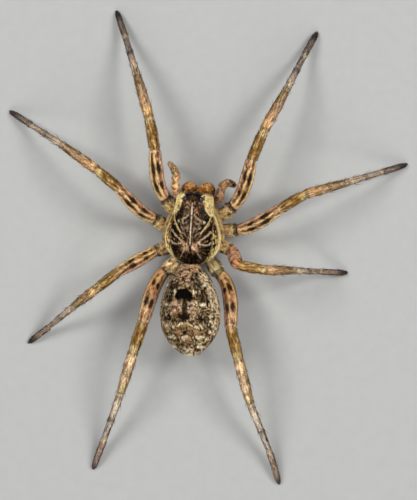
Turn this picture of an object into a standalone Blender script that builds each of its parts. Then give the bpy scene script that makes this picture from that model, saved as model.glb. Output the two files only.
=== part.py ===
"""Wolf spider, life size, standing still on a floor with its legs spread.

Units are metres, +Z is up and +Y is the way the head points. The origin lies on the floor
under the middle of the spread legs. The animal's left side is at -X.
"""

import math
from dataclasses import dataclass

import bmesh
import bpy
from mathutils import Matrix, Vector
from mathutils.bvhtree import BVHTree

MM = 0.001
MODEL = "wolf_spider"

# Clearances between pieces that touch in life
JOINT_GAP = 0.3 * MM
EYE_GAP = 0.08 * MM
WELD = 0.001 * MM
CUT_TOLERANCE = 0.0001 * MM

# Fineness of the round forms
LIMB_BEVEL = 3
BEND_STEPS = 2
STRAIGHT_STEP = 1.1 * MM

# Place and lean of the fore body: the plane of the shell's rim, seen from its middle
PROSOMA_CENTRE = Vector((-1.60, 0.95, 3.15)) * MM
PROSOMA_YAW = math.radians(-3.5)
PROSOMA_ROLL = math.radians(-7.0)
PROSOMA_PITCH = math.radians(1.5)

# Place and lean of the abdomen
ABDOMEN_CENTRE = Vector((-1.90, -6.36, 4.26)) * MM
ABDOMEN_YAW = math.radians(0.0)
ABDOMEN_ROLL = math.radians(-10.0)
ABDOMEN_PITCH = math.radians(2.0)

# Shell of the fore body, front to rear: distance along, half width, height, depth below rim
CARAPACE_STATIONS = (
    (4.85, 1.05, 1.20, -0.20),
    (4.78, 1.45, 1.55, -0.10),
    (4.60, 1.74, 1.86, 0.02),
    (4.25, 1.90, 2.10, 0.10),
    (3.55, 2.02, 2.32, 0.14),
    (2.50, 2.24, 2.44, 0.16),
    (1.45, 2.62, 2.52, 0.18),
    (0.75, 2.84, 2.54, 0.18),
    (0.00, 2.92, 2.46, 0.18),
    (-0.95, 2.74, 2.18, 0.18),
    (-1.65, 2.30, 1.66, 0.16),
    (-2.25, 1.60, 0.96, 0.12),
    (-2.55, 1.00, 0.50, 0.10),
)
CARAPACE_RINGS = 20
CARAPACE_AROUND = 32
HEAD_BOXINESS = 0.80
THORAX_BOXINESS = 1.02

# Abdomen, front to rear: distance along, half width, height and depth from the middle
ABDOMEN_STATIONS = (
    (4.75, 0.70, 0.66, 0.10),
    (4.45, 1.16, 1.28, 0.42),
    (3.85, 1.76, 1.92, 0.90),
    (3.20, 2.24, 2.28, 1.28),
    (2.50, 2.56, 2.52, 1.60),
    (1.25, 2.98, 2.66, 2.15),
    (0.00, 3.20, 2.66, 2.45),
    (-1.15, 3.18, 2.56, 2.50),
    (-2.20, 2.94, 2.34, 2.36),
    (-3.05, 2.48, 2.04, 2.08),
    (-3.75, 1.92, 1.60, 1.68),
    (-4.40, 1.14, 1.00, 1.12),
    (-4.80, 0.48, 0.40, 0.48),
)
ABDOMEN_RINGS = 20
ABDOMEN_AROUND = 30
ABDOMEN_BOXINESS = 0.97

# Sternum, the plate between the leg bases
STERNUM_LOCAL = Vector((0.0, 0.45, -0.95)) * MM
STERNUM_STATIONS = (
    (2.55, 0.30, 0.30, 0.28),
    (2.20, 0.50, 0.42, 0.42),
    (1.75, 0.70, 0.50, 0.50),
    (1.35, 1.20, 0.52, 0.55),
    (0.60, 1.46, 0.52, 0.60),
    (-0.40, 1.40, 0.52, 0.60),
    (-1.30, 0.98, 0.50, 0.52),
    (-1.90, 0.40, 0.36, 0.36),
)
STERNUM_RINGS = 12
STERNUM_AROUND = 20

# Waist between fore body and abdomen
PEDICEL_LOCAL_START = Vector((0.0, -1.85, -0.90)) * MM
PEDICEL_LOCAL_END = Vector((0.0, -2.90, -0.72)) * MM
PEDICEL_RADIUS = 0.42 * MM

# Chelicerae: centre line from the face down to the fang, and radii along it
CHELICERA_SPREAD = 0.90 * MM
CHELICERA_SHIFT = 0.13 * MM
CHELICERA_LINE = (
    (4.90, -0.32, 0.34),
    (5.00, -0.44, 0.58),
    (5.05, -0.64, 0.74),
    (5.07, -0.96, 0.78),
    (5.05, -1.32, 0.74),
    (4.98, -1.68, 0.61),
    (4.91, -2.02, 0.38),
)
FANG_DROP = 2.38 * MM
FANG_FORWARD = 4.90 * MM
FANG_REACH = 0.92 * MM
FANG_SAG = 0.22 * MM
FANG_RADIUS = 0.25 * MM
FANG_TIP_RADIUS = 0.07 * MM
FANG_STEPS = 7

# Eyes: name, offset from the midline, height of aim, seen from front or above, diameter
EYES = (
    ("front_middle", 0.19, 0.80, "front", 0.28),
    ("front_side", 0.52, 0.76, "front", 0.22),
    ("large", 0.40, 1.34, "front", 0.52),
    ("rear", 0.86, 4.20, "above", 0.46),
)
EYE_SUNK = 0.42
EYE_SIDES = 12
EYE_RINGS = 6

# Spinnerets: sideways place, length, radius and lean away from straight back
SPINNERETS = (
    ("front", 0.42, 1.10, 0.27, -0.34),
    ("rear", 0.34, 1.00, 0.22, -0.04),
)
SPINNERET_ROOT = Vector((0.0, -3.62, -1.20)) * MM
SPINNERET_SPLAY = math.radians(12.0)

# Leg sizes shared by a pair: lengths from patella to tarsus, and heights of the joints
PAIR_LENGTHS = {
    1: (3.26, 5.02, 4.85, 3.08),
    2: (2.90, 4.62, 4.64, 3.00),
    3: (2.80, 3.22, 4.12, 2.95),
    4: (3.10, 5.06, 5.78, 3.58),
}
PAIR_HEIGHTS = {
    1: (4.80, 4.60, 3.20, 1.10),
    2: (4.75, 4.50, 3.15, 1.10),
    3: (4.65, 4.30, 3.05, 1.05),
    4: (4.60, 4.35, 3.05, 1.10),
}
PAIR_GIRTH = {1: 1.00, 2: 0.95, 3: 0.92, 4: 1.03}
HIP_HEIGHT = 2.15 * MM
HIP_LIFT_PER_SIDE = 0.10
ROOT_HEIGHT = 2.05 * MM
TIP_HEIGHT = 0.07 * MM
COXA_REACH = 1.15 * MM
PAIR_BOW = {1: 0.22, 2: 0.22, 3: 0.20, 4: -0.06}
BEND_ROOM = 0.95 * MM
SWAY_SKEW = 0.7
ROOT_ANGLES = {1: 52.0, 2: 20.0, 3: -16.0, 4: -52.0}
ROOT_HALF_WIDTH = 2.08 * MM
ROOT_HALF_LENGTH = 2.62 * MM

# Radius along a leg: segment number and share of its length, then radius in millimetres
LEG_RADII = (
    (0.00, 0.46), (0.60, 0.65), (1.00, 0.77), (1.60, 0.79), (2.00, 0.67),
    (2.20, 0.71), (2.50, 0.76), (2.80, 0.70), (3.00, 0.63),
    (3.20, 0.62), (3.60, 0.62), (4.00, 0.56),
    (4.30, 0.58), (4.75, 0.53), (5.00, 0.46),
    (5.10, 0.43), (5.85, 0.36), (6.00, 0.34),
    (6.20, 0.33), (6.80, 0.28), (6.96, 0.21), (7.00, 0.12),
)


@dataclass
class Leg:
    """One leg: its pair, side, hip on the plan and the bearing of each segment.

    The femur has its own length and bends to the left of its way by its sway.
    """

    pair: int
    side: str
    hip: tuple
    coxa_bearing: float
    femur: float
    sway: float
    bearings: tuple
    reach: float = 1.0
    knee_heights: tuple = ()


LEGS = (
    Leg(1, "left", (-4.45, 5.25), 120.0, 5.69, 0.40, (102.5, 99.8, 106.3, 107.2, 108.5)),
    Leg(1, "right", (2.49, 4.42), 48.0, 5.57, -0.39, (67.5, 67.6, 60.9, 62.7, 61.0)),
    Leg(2, "left", (-5.62, 3.14), 138.0, 5.42, 0.34, (140.1, 139.7, 144.5, 146.8, 147.0)),
    Leg(2, "right", (3.07, 1.95), 8.0, 5.37, -0.30, (26.1, 30.7, 15.8, 16.8, 17.2)),
    Leg(3, "left", (-5.54, -0.27), -168.0, 5.11, 0.0, (-150.2, -141.8, -143.7, -140.4, -142.7)),
    Leg(3, "right", (2.45, -0.25), -25.0, 5.24, 0.0, (-71.8, -11.0, -1.0, -2.7, -2.7), 1.06,
        (7.35, 6.25, 4.50, 1.45)),
    Leg(4, "left", (-4.60, -2.50), -138.0, 6.16, -0.36, (-112.6, -108.7, -107.3, -110.0, -110.8), 0.975),
    Leg(4, "right", (1.13, -2.75), -58.0, 6.06, 0.60, (-78.2, -76.1, -75.2, -68.1, -73.6), 1.025),
)
LEG_NODES = (("coxa", 0, 2), ("femur", 2, 3), ("tibia", 3, 5), ("foot", 5, 7))

# Palps: joints from the mouth to the tip, in millimetres
PALP_JOINTS = {
    "left": ((-2.20, 4.50, 1.75), (-2.82, 5.03, 1.95), (-3.36, 5.74, 2.35),
             (-3.48, 6.80, 3.50), (-3.32, 7.60, 3.35), (-3.60, 8.22, 2.40),
             (-4.15, 8.98, 1.05)),
    "right": ((-0.40, 4.55, 1.90), (0.50, 4.78, 2.02), (1.16, 5.12, 2.42),
              (1.26, 6.05, 3.50), (1.66, 6.70, 3.42), (2.25, 6.78, 2.90),
              (2.72, 6.52, 1.98)),
}
PALP_RADII = (
    (0.00, 0.34), (0.40, 0.40), (1.00, 0.38), (1.60, 0.38), (2.00, 0.40), (2.50, 0.44),
    (3.00, 0.40), (3.50, 0.43), (4.00, 0.37), (4.50, 0.39), (5.00, 0.34),
    (5.40, 0.33), (5.85, 0.24), (6.00, 0.12),
)
PALP_NODES = (("base", 0, 3), ("end", 3, 6))
PALP_BEND_ROOM = 0.55 * MM

# Colours and roughness of the pieces
SHELL_BROWN = (0.060, 0.038, 0.022)
ABDOMEN_BROWN = (0.115, 0.080, 0.055)
LEG_TAN = (0.420, 0.270, 0.150)
COXA_OLIVE = (0.300, 0.230, 0.110)
FOOT_GREY = (0.180, 0.135, 0.105)
JAW_ORANGE = (0.400, 0.160, 0.040)
FANG_BLACK = (0.020, 0.008, 0.005)
EYE_BLACK = (0.008, 0.007, 0.007)


def clear_scene():
    """Remove every object already in the scene."""
    for item in list(bpy.data.objects):
        bpy.data.objects.remove(item, do_unlink=True)


def make_collection(name, hidden=False):
    """Add a collection to the scene."""
    group = bpy.data.collections.new(name)
    bpy.context.scene.collection.children.link(group)
    group.hide_render = hidden
    return group


def make_material(name, colour, roughness):
    """Plain material of one colour."""
    material = bpy.data.materials.new(name)
    material.use_nodes = True
    shader = material.node_tree.nodes["Principled BSDF"]
    shader.inputs["Base Color"].default_value = (*colour, 1.0)
    shader.inputs["Roughness"].default_value = roughness
    shader.inputs["Metallic"].default_value = 0.0
    return material


def add_object(name, mesh, group, material=None):
    """Put a mesh in the scene under a node name."""
    item = bpy.data.objects.new(name, mesh)
    group.objects.link(item)
    mesh.name = name
    mesh.shade_smooth()
    if material is not None:
        mesh.materials.clear()
        mesh.materials.append(material)
    return item


def smooth_value(points, place):
    """Height of a smooth curve through (place, value) points in rising order."""
    if place <= points[0][0]:
        return points[0][1]
    if place >= points[-1][0]:
        return points[-1][1]
    index = 0
    while points[index + 1][0] < place:
        index += 1
    x0, y0 = points[index]
    x1, y1 = points[index + 1]
    span = x1 - x0
    slopes = []
    for near in (index, index + 1):
        low = points[max(near - 1, 0)]
        high = points[min(near + 1, len(points) - 1)]
        slopes.append((high[1] - low[1]) / (high[0] - low[0]))
    t = (place - x0) / span
    rise = (2 * t ** 3 - 3 * t ** 2 + 1) * y0 + (3 * t ** 2 - 2 * t ** 3) * y1
    lean = (t ** 3 - 2 * t ** 2 + t) * slopes[0] + (t ** 3 - t ** 2) * slopes[1]
    return rise + lean * span


def signed_power(value, exponent):
    """Power that keeps the sign of its base."""
    return math.copysign(abs(value) ** exponent, value)


def station_curves(stations):
    """Half width, height and depth of a body as curves over the distance along it."""
    rising = sorted(stations)
    return [[(row[0], row[column]) for row in rising] for column in (1, 2, 3)]


def loft_body(stations, rings, around, boxiness, frame):
    """Closed body from a ball with its poles fore and aft, each ring taking its section."""
    widths, heights, depths = station_curves(stations)
    first = widths[0][0]
    last = widths[-1][0]
    middle = (first + last) / 2
    half = (last - first) / 2
    bm = bmesh.new()
    turn = Matrix.Rotation(-math.pi / 2, 4, "X")
    bmesh.ops.create_uvsphere(bm, u_segments=around, v_segments=rings, radius=1.0, matrix=turn)
    for vert in bm.verts:
        place = middle + half * vert.co.y
        across = math.hypot(vert.co.x, vert.co.z)
        width = smooth_value(widths, place)
        height = smooth_value(heights, place)
        depth = smooth_value(depths, place)
        if across < 0.01:
            vert.co = (0.0, place * MM, (height - depth) / 2 * MM)
            continue
        power = boxiness(place)
        side = signed_power(vert.co.x / across, power)
        rise = signed_power(vert.co.z / across, power)
        reach = height if rise > 0 else depth
        vert.co = (width * side * MM, place * MM, reach * rise * MM)
    bm.transform(frame)
    return mesh_from(bm)


def mesh_from(bm):
    """Mesh of a finished bmesh, with its faces pointing outwards."""
    bmesh.ops.recalc_face_normals(bm, faces=bm.faces)
    mesh = bpy.data.meshes.new("body")
    bm.to_mesh(mesh)
    bm.free()
    return mesh


def body_frame(centre, yaw, roll, pitch):
    """Matrix that places a body part from its own axes."""
    turn = Matrix.Rotation(yaw, 4, "Z") @ Matrix.Rotation(roll, 4, "Y") @ Matrix.Rotation(pitch, 4, "X")
    return Matrix.Translation(centre) @ turn


def rounded_path(joints, room):
    """Points along a jointed line whose corners are rounded.

    Each point comes with its place: the segment number plus the share of its length.
    """
    lengths = [(b - a).length for a, b in zip(joints, joints[1:])]
    path = [(joints[0], 0.0)]
    reached = 0.0
    for index in range(1, len(joints)):
        length = lengths[index - 1]
        last = index == len(joints) - 1
        trim = 0.0 if last else min(room, 0.42 * length, 0.42 * lengths[index])
        straight = length - trim - reached
        steps = max(1, round(straight / STRAIGHT_STEP))
        start = joints[index - 1]
        along = (joints[index] - start) / length
        for step in range(1, steps + 1):
            distance = reached + straight * step / steps
            path.append((start + along * distance, index - 1 + distance / length))
        if last:
            break
        corner = joints[index]
        before = corner - along * trim
        onward = (joints[index + 1] - corner) / lengths[index]
        after = corner + onward * trim
        for step in range(1, 2 * BEND_STEPS + 1):
            t = step / (2 * BEND_STEPS)
            point = (1 - t) ** 2 * before + 2 * t * (1 - t) * corner + t ** 2 * after
            if t <= 0.5:
                place = index - trim / length * (1 - 2 * t)
            else:
                place = index + trim / lengths[index] * (2 * t - 1)
            path.append((point, place))
        reached = trim
    return path


def tube_mesh(points, radii, bevel=LIMB_BEVEL):
    """Closed tube along points, as thick at each as its radius says."""
    curve = bpy.data.curves.new("limb", "CURVE")
    curve.dimensions = "3D"
    curve.twist_mode = "MINIMUM"
    curve.bevel_depth = 1.0
    curve.bevel_resolution = bevel
    curve.use_fill_caps = True
    spline = curve.splines.new("POLY")
    spline.points.add(len(points) - 1)
    for knot, point, radius in zip(spline.points, points, radii):
        knot.co = (*point, 1.0)
        knot.radius = radius
    holder = bpy.data.objects.new("limb", curve)
    bpy.context.scene.collection.objects.link(holder)
    graph = bpy.context.evaluated_depsgraph_get()
    mesh = bpy.data.meshes.new_from_object(holder.evaluated_get(graph))
    bpy.data.objects.remove(holder, do_unlink=True)
    bm = bmesh.new()
    bm.from_mesh(mesh)
    bmesh.ops.remove_doubles(bm, verts=bm.verts, dist=WELD)
    bpy.data.meshes.remove(mesh)
    return mesh_from(bm)


def cut_mesh(mesh, cuts):
    """Part of a closed mesh on the far side of each (point, normal) cut, closed again."""
    bm = bmesh.new()
    bm.from_mesh(mesh)
    for point, normal in cuts:
        everything = bm.verts[:] + bm.edges[:] + bm.faces[:]
        bmesh.ops.bisect_plane(bm, geom=everything, dist=CUT_TOLERANCE, plane_co=point,
                               plane_no=normal, clear_inner=True)
        rim = [edge for edge in bm.edges if edge.is_boundary]
        bmesh.ops.holes_fill(bm, edges=rim)
    return mesh_from(bm)


def joint_on(path, place):
    """Point and direction of a path at a joint's place."""
    index = min(range(len(path)), key=lambda i: abs(path[i][1] - place))
    before = path[index - 1][0]
    after = path[index + 1][0]
    return path[index][0], (after - before).normalized()


def limb_nodes(name, path, radii, nodes, group, materials):
    """One limb as a whole tube, parted at its joints by thin cuts."""
    whole = tube_mesh([point for point, place in path], radii)
    last = path[-1][1]
    floor = (Vector((0.0, 0.0, 0.0)), Vector((0.0, 0.0, 1.0)))
    for label, start, end in nodes:
        cuts = [floor]
        if start > 0:
            point, along = joint_on(path, start)
            cuts.append((point + along * JOINT_GAP / 2, along))
        if end < last:
            point, along = joint_on(path, end)
            cuts.append((point - along * JOINT_GAP / 2, -along))
        mesh = cut_mesh(whole, cuts)
        add_object(name + "_" + label, mesh, group, materials[label])
    bpy.data.meshes.remove(whole)


def direction(bearing):
    """Unit step on the plan towards a bearing, counted from +X towards +Y."""
    angle = math.radians(bearing)
    return Vector((math.cos(angle), math.sin(angle), 0.0))


def leg_joints(leg, prosoma):
    """Joints of one leg from the sternum to the tip of the foot."""
    sign = -1.0 if leg.side == "left" else 1.0
    angle = math.radians(ROOT_ANGLES[leg.pair])
    local = Vector((sign * ROOT_HALF_WIDTH * math.cos(angle),
                    STERNUM_LOCAL.y + ROOT_HALF_LENGTH * math.sin(angle), 0.0))
    root = prosoma @ local
    lift = HIP_LIFT_PER_SIDE * (root.x - PROSOMA_CENTRE.x)
    root.z = ROOT_HEIGHT + lift
    hip = Vector((leg.hip[0] * MM, leg.hip[1] * MM, HIP_HEIGHT + lift))
    shoulder = hip - direction(leg.coxa_bearing) * COXA_REACH
    shoulder.z = (root.z + hip.z) / 2
    joints = [root, shoulder, hip]
    heights = leg.knee_heights or PAIR_HEIGHTS[leg.pair]
    levels = [height * MM for height in heights] + [TIP_HEIGHT]
    point = hip
    lengths = [leg.femur] + [length * leg.reach for length in PAIR_LENGTHS[leg.pair]]
    for length, bearing, level in zip(lengths, leg.bearings, levels):
        true_length = length * MM
        drop = level - point.z
        run = math.sqrt(max(true_length ** 2 - drop ** 2, 0.0))
        point = point + direction(bearing) * run + Vector((0.0, 0.0, drop))
        joints.append(point)
    return joints


def bow_femur(path, rise, sway, bearing):
    """Path with the femur arched upwards, and sideways most in its first half."""
    aside = direction(bearing + 90.0)
    bowed = []
    for point, place in path:
        share = min(max(place - 2.0, 0.0), 1.0)
        lift = Vector((0.0, 0.0, rise * math.sin(math.pi * share)))
        bend = aside * sway * math.sin(math.pi * share ** SWAY_SKEW)
        bowed.append((point + lift + bend, place))
    return bowed


def build_leg(leg, prosoma, group, materials):
    """One leg in four pieces, its foot resting on a small flat."""
    path = rounded_path(leg_joints(leg, prosoma), BEND_ROOM)
    path = bow_femur(path, PAIR_BOW[leg.pair] * MM, leg.sway * MM, leg.bearings[0])
    girth = PAIR_GIRTH[leg.pair]
    radii = [smooth_value(LEG_RADII, place) * girth * MM for point, place in path]
    name = "leg_%d_%s" % (leg.pair, leg.side)
    limb_nodes(name, path, radii, LEG_NODES, group, materials)


def build_palp(side, group, materials):
    """One palp in two pieces, from beside the mouth to its tip."""
    joints = [Vector(joint) * MM for joint in PALP_JOINTS[side]]
    path = rounded_path(joints, PALP_BEND_ROOM)
    radii = [smooth_value(PALP_RADII, place) * MM for point, place in path]
    limb_nodes("palp_" + side, path, radii, PALP_NODES, group, materials)


def build_chelicera(sign, prosoma, group, jaw, fang):
    """One jaw with its fang folded inwards under it."""
    side = "left" if sign < 0 else "right"
    across = sign * CHELICERA_SPREAD + CHELICERA_SHIFT
    points = [prosoma @ Vector((across, y * MM, z * MM)) for y, z, radius in CHELICERA_LINE]
    radii = [radius * MM for y, z, radius in CHELICERA_LINE]
    add_object("chelicera_" + side, tube_mesh(points, radii, LIMB_BEVEL + 3), group, jaw)
    hook = []
    girths = []
    for step in range(FANG_STEPS):
        t = step / (FANG_STEPS - 1)
        x = across + sign * (0.30 * MM - FANG_REACH * t)
        z = -FANG_DROP - FANG_SAG * math.sin(math.pi * t)
        hook.append(prosoma @ Vector((x, FANG_FORWARD, z)))
        girths.append(FANG_RADIUS + (FANG_TIP_RADIUS - FANG_RADIUS) * t ** 1.5)
    add_object("fang_" + side, tube_mesh(hook, girths, 2), group, fang)


def eye_place(tree, prosoma, offset, aim, seen_from):
    """Point of the shell, and the way out of it, where an eye sits."""
    if seen_from == "front":
        start = prosoma @ (Vector((offset, 8.0, aim)) * MM)
        way = prosoma.to_3x3() @ Vector((0.0, -1.0, 0.0))
    else:
        start = prosoma @ (Vector((offset, aim, 8.0)) * MM)
        way = prosoma.to_3x3() @ Vector((0.0, 0.0, -1.0))
    point, normal, index, distance = tree.ray_cast(start, way)
    return point, normal


def build_eyes(shell, prosoma, group, cutters, material):
    """Eight eyes sunk in the face, each in a socket cut to fit."""
    tree = BVHTree.FromObject(shell, bpy.context.evaluated_depsgraph_get())
    for label, offset, aim, seen_from, diameter in EYES:
        for sign, side in ((-1.0, "left"), (1.0, "right")):
            point, normal = eye_place(tree, prosoma, sign * offset, aim, seen_from)
            radius = diameter / 2 * MM
            centre = point - normal * radius * EYE_SUNK
            turn = normal.to_track_quat("Z", "Y").to_matrix().to_4x4()
            place = Matrix.Translation(centre) @ turn
            name = "eye_%s_%s" % (label, side)
            add_object(name, ball_mesh(radius, place), group, material)
            socket = add_object(name + "_socket", ball_mesh(radius + EYE_GAP, place), cutters)
            socket.hide_render = True
            socket.display_type = "WIRE"
    cut = shell.modifiers.new("eye_sockets", "BOOLEAN")
    cut.operation = "DIFFERENCE"
    cut.operand_type = "COLLECTION"
    cut.collection = cutters
    cut.solver = "EXACT"


def ball_mesh(radius, place):
    """Ball with its pole along the placing matrix's Z axis."""
    bm = bmesh.new()
    bmesh.ops.create_uvsphere(bm, u_segments=EYE_SIDES, v_segments=EYE_RINGS, radius=radius)
    bm.transform(place)
    return mesh_from(bm)


def fuse(body, pieces):
    """Join closed pieces to a body and keep its one closed surface."""
    union = body.modifiers.new("fused", "BOOLEAN")
    union.operation = "UNION"
    union.operand_type = "COLLECTION"
    union.collection = pieces
    union.solver = "EXACT"
    graph = bpy.context.evaluated_depsgraph_get()
    joined = bpy.data.meshes.new_from_object(body.evaluated_get(graph))
    body.modifiers.clear()
    plain = body.data
    body.data = largest_surface(joined)
    bpy.data.meshes.remove(plain)
    for piece in list(pieces.objects):
        bpy.data.objects.remove(piece, do_unlink=True)
    bpy.data.collections.remove(pieces)


def largest_surface(mesh):
    """Mesh with only the largest of its closed surfaces left."""
    bm = bmesh.new()
    bm.from_mesh(mesh)
    bmesh.ops.remove_doubles(bm, verts=bm.verts, dist=WELD)
    islands = []
    unseen = set(bm.verts)
    while unseen:
        front = [unseen.pop()]
        island = set(front)
        while front:
            vert = front.pop()
            for edge in vert.link_edges:
                other = edge.other_vert(vert)
                if other in unseen:
                    unseen.discard(other)
                    island.add(other)
                    front.append(other)
        islands.append(island)
    islands.sort(key=len)
    scraps = [vert for island in islands[:-1] for vert in island]
    bmesh.ops.delete(bm, geom=scraps, context="VERTS")
    bm.to_mesh(mesh)
    bm.free()
    return mesh


def build_abdomen(frame, group, material):
    """Abdomen with its spinnerets fused on behind and below."""
    mesh = loft_body(ABDOMEN_STATIONS, ABDOMEN_RINGS, ABDOMEN_AROUND,
                     lambda place: ABDOMEN_BOXINESS, frame)
    body = add_object("abdomen", mesh, group, material)
    pieces = make_collection("spinneret_pieces", hidden=True)
    for label, across, length, radius, drop in SPINNERETS:
        for sign in (-1.0, 1.0):
            root = SPINNERET_ROOT + Vector((sign * across, 0.0, drop)) * MM
            splay = sign * math.tan(SPINNERET_SPLAY)
            along = Vector((splay, -1.0, -0.12)).normalized()
            points = [frame @ (root + along * length * share * MM) for share in (0.0, 0.4, 0.85, 1.0)]
            radii = [radius * share * MM for share in (0.9, 1.0, 0.7, 0.35)]
            add_object("spinneret_%s_%d" % (label, sign), tube_mesh(points, radii, 2), pieces)
    fuse(body, pieces)


def build_pedicel(prosoma, group, material):
    """Narrow waist between fore body and abdomen."""
    points = []
    for share in (0.0, 0.33, 0.67, 1.0):
        local = PEDICEL_LOCAL_START.lerp(PEDICEL_LOCAL_END, share)
        points.append(prosoma @ local)
    add_object("pedicel", tube_mesh(points, [PEDICEL_RADIUS] * 4, 2), group, material)


def carapace_boxiness(place):
    """Head steep at its sides, thorax more sloping."""
    blend = min(max((place - 0.5) / 2.5, 0.0), 1.0)
    return THORAX_BOXINESS + (HEAD_BOXINESS - THORAX_BOXINESS) * blend


def build_prosoma(prosoma, group, cutters, materials):
    """Shell, sternum, waist, jaws and eyes."""
    mesh = loft_body(CARAPACE_STATIONS, CARAPACE_RINGS, CARAPACE_AROUND,
                     carapace_boxiness, prosoma)
    shell = add_object("carapace", mesh, group, materials["shell"])
    build_eyes(shell, prosoma, group, cutters, materials["eye"])
    plate = loft_body(STERNUM_STATIONS, STERNUM_RINGS, STERNUM_AROUND, lambda place: 0.85,
                      prosoma @ Matrix.Translation(STERNUM_LOCAL))
    add_object("sternum", plate, group, materials["shell"])
    build_pedicel(prosoma, group, materials["shell"])
    for sign in (-1.0, 1.0):
        build_chelicera(sign, prosoma, group, materials["jaw"], materials["fang"])


def main():
    """Build the whole animal."""
    clear_scene()
    group = make_collection(MODEL)
    cutters = make_collection("eye_sockets", hidden=True)
    materials = {
        "shell": make_material("shell_cuticle", SHELL_BROWN, 0.55),
        "abdomen": make_material("abdomen_hide", ABDOMEN_BROWN, 0.80),
        "jaw": make_material("jaw_cuticle", JAW_ORANGE, 0.40),
        "fang": make_material("fang_horn", FANG_BLACK, 0.25),
        "eye": make_material("eye_lens", EYE_BLACK, 0.08),
    }
    limb_materials = {
        "coxa": make_material("coxa_cuticle", COXA_OLIVE, 0.60),
        "femur": make_material("femur_cuticle", LEG_TAN, 0.65),
        "tibia": make_material("tibia_cuticle", LEG_TAN, 0.65),
        "foot": make_material("foot_cuticle", FOOT_GREY, 0.75),
    }
    limb_materials["base"] = limb_materials["femur"]
    limb_materials["end"] = limb_materials["foot"]
    prosoma = body_frame(PROSOMA_CENTRE, PROSOMA_YAW, PROSOMA_ROLL, PROSOMA_PITCH)
    abdomen = body_frame(ABDOMEN_CENTRE, ABDOMEN_YAW, ABDOMEN_ROLL, ABDOMEN_PITCH)
    build_prosoma(prosoma, group, cutters, materials)
    build_abdomen(abdomen, group, materials["abdomen"])
    for side in ("left", "right"):
        build_palp(side, group, limb_materials)
    for leg in LEGS:
        build_leg(leg, prosoma, group, limb_materials)


main()
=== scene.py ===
"""Looks of a life-size wolf spider: skins, hair, eyes, claws, floor, light and camera."""

import logging
import math
from dataclasses import dataclass, field
from enum import Enum
from typing import Callable

import bmesh
import bpy
import numpy as np
from mathutils import Matrix, Vector


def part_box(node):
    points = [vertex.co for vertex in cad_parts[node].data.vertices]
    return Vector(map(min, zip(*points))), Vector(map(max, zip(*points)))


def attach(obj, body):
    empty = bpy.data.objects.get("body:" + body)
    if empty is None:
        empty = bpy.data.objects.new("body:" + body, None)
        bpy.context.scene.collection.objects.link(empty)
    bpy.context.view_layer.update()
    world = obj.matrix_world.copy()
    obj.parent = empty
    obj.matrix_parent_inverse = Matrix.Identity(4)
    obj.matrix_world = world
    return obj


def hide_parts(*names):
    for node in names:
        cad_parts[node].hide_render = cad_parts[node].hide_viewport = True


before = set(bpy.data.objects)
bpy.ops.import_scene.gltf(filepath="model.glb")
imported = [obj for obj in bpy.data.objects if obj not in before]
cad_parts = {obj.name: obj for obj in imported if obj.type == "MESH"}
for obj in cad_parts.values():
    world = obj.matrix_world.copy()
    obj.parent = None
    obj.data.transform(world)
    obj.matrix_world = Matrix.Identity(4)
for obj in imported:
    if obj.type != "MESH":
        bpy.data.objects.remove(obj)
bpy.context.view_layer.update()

LOG = logging.getLogger("wolf_spider")
MM = 0.001
BODY = "root"
TINT = "Tint"
BAKE_MAP = "OFBake"

# Heights below which skin, hair and claws don't reach, so that the feet rest on the floor
SKIN_FLOOR = 0.012 * MM
HAIR_FLOOR = 0.01 * MM
CLAW_FLOOR = 0.005 * MM

# Colours or values read from shares along a form, angles round it and positions
Pattern = Callable[[np.ndarray, np.ndarray, np.ndarray], np.ndarray]
# Local positions in millimetres with the fine relief added
Relief = Callable[[np.ndarray], np.ndarray]

# Camera: straight above, as the photograph was taken
LENS = 150.0
SENSOR = 36.0
VIEW_HEIGHT = 52.0 * MM
VIEW_PLANE = 2.5 * MM
VIEW_CENTRE = (-0.01 * MM, -0.19 * MM)


class Slot(Enum):
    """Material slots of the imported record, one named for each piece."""

    CARAPACE = "carapace_hide"
    ABDOMEN = "abdomen_hide"
    BELLY = "belly_hide"
    LEG = "leg_hide"
    FOOT = "foot_hide"
    PALP = "palp_hide"
    JAW = "jaw_shell"
    FANG = "fang_shell"
    EYE = "eye_lens"


class Side(Enum):
    """Side of the animal."""

    LEFT = "left"
    RIGHT = "right"

    @property
    def sign(self) -> float:
        """Minus one on the left, one on the right."""
        return -1.0 if self is Side.LEFT else 1.0


def linear(code: str) -> np.ndarray:
    """Linear colour of an sRGB hex value.

    Args:
        code: Colour such as "#c9a08a".

    Returns:
        Three linear values.
    """
    values = np.array([int(code[place:place + 2], 16) / 255.0 for place in (1, 3, 5)])
    return np.where(values <= 0.04045, values / 12.92, ((values + 0.055) / 1.055) ** 2.4)


def smooth_curve(points: tuple, place: np.ndarray) -> np.ndarray:
    """Values of a smooth curve through points.

    Args:
        points: Pairs of place and value, in rising order of place.
        place: Where the curve is read.

    Returns:
        One value for each place.
    """
    knots = np.array([point[0] for point in points], float)
    values = np.array([point[1] for point in points], float)
    place = np.clip(place, knots[0], knots[-1])
    slopes = np.empty_like(values)
    slopes[1:-1] = (values[2:] - values[:-2]) / (knots[2:] - knots[:-2])
    slopes[0] = (values[1] - values[0]) / (knots[1] - knots[0])
    slopes[-1] = (values[-1] - values[-2]) / (knots[-1] - knots[-2])
    index = np.clip(np.searchsorted(knots, place, side="right") - 1, 0, len(knots) - 2)
    span = knots[index + 1] - knots[index]
    t = (place - knots[index]) / span
    rise = (2 * t ** 3 - 3 * t ** 2 + 1) * values[index] + (3 * t ** 2 - 2 * t ** 3) * values[index + 1]
    lean = (t ** 3 - 2 * t ** 2 + t) * slopes[index] + (t ** 3 - t ** 2) * slopes[index + 1]
    return rise + lean * span


def signed_power(value: np.ndarray, exponent: np.ndarray | float) -> np.ndarray:
    """Power that keeps the sign of its base."""
    return np.sign(value) * np.abs(value) ** exponent


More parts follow.
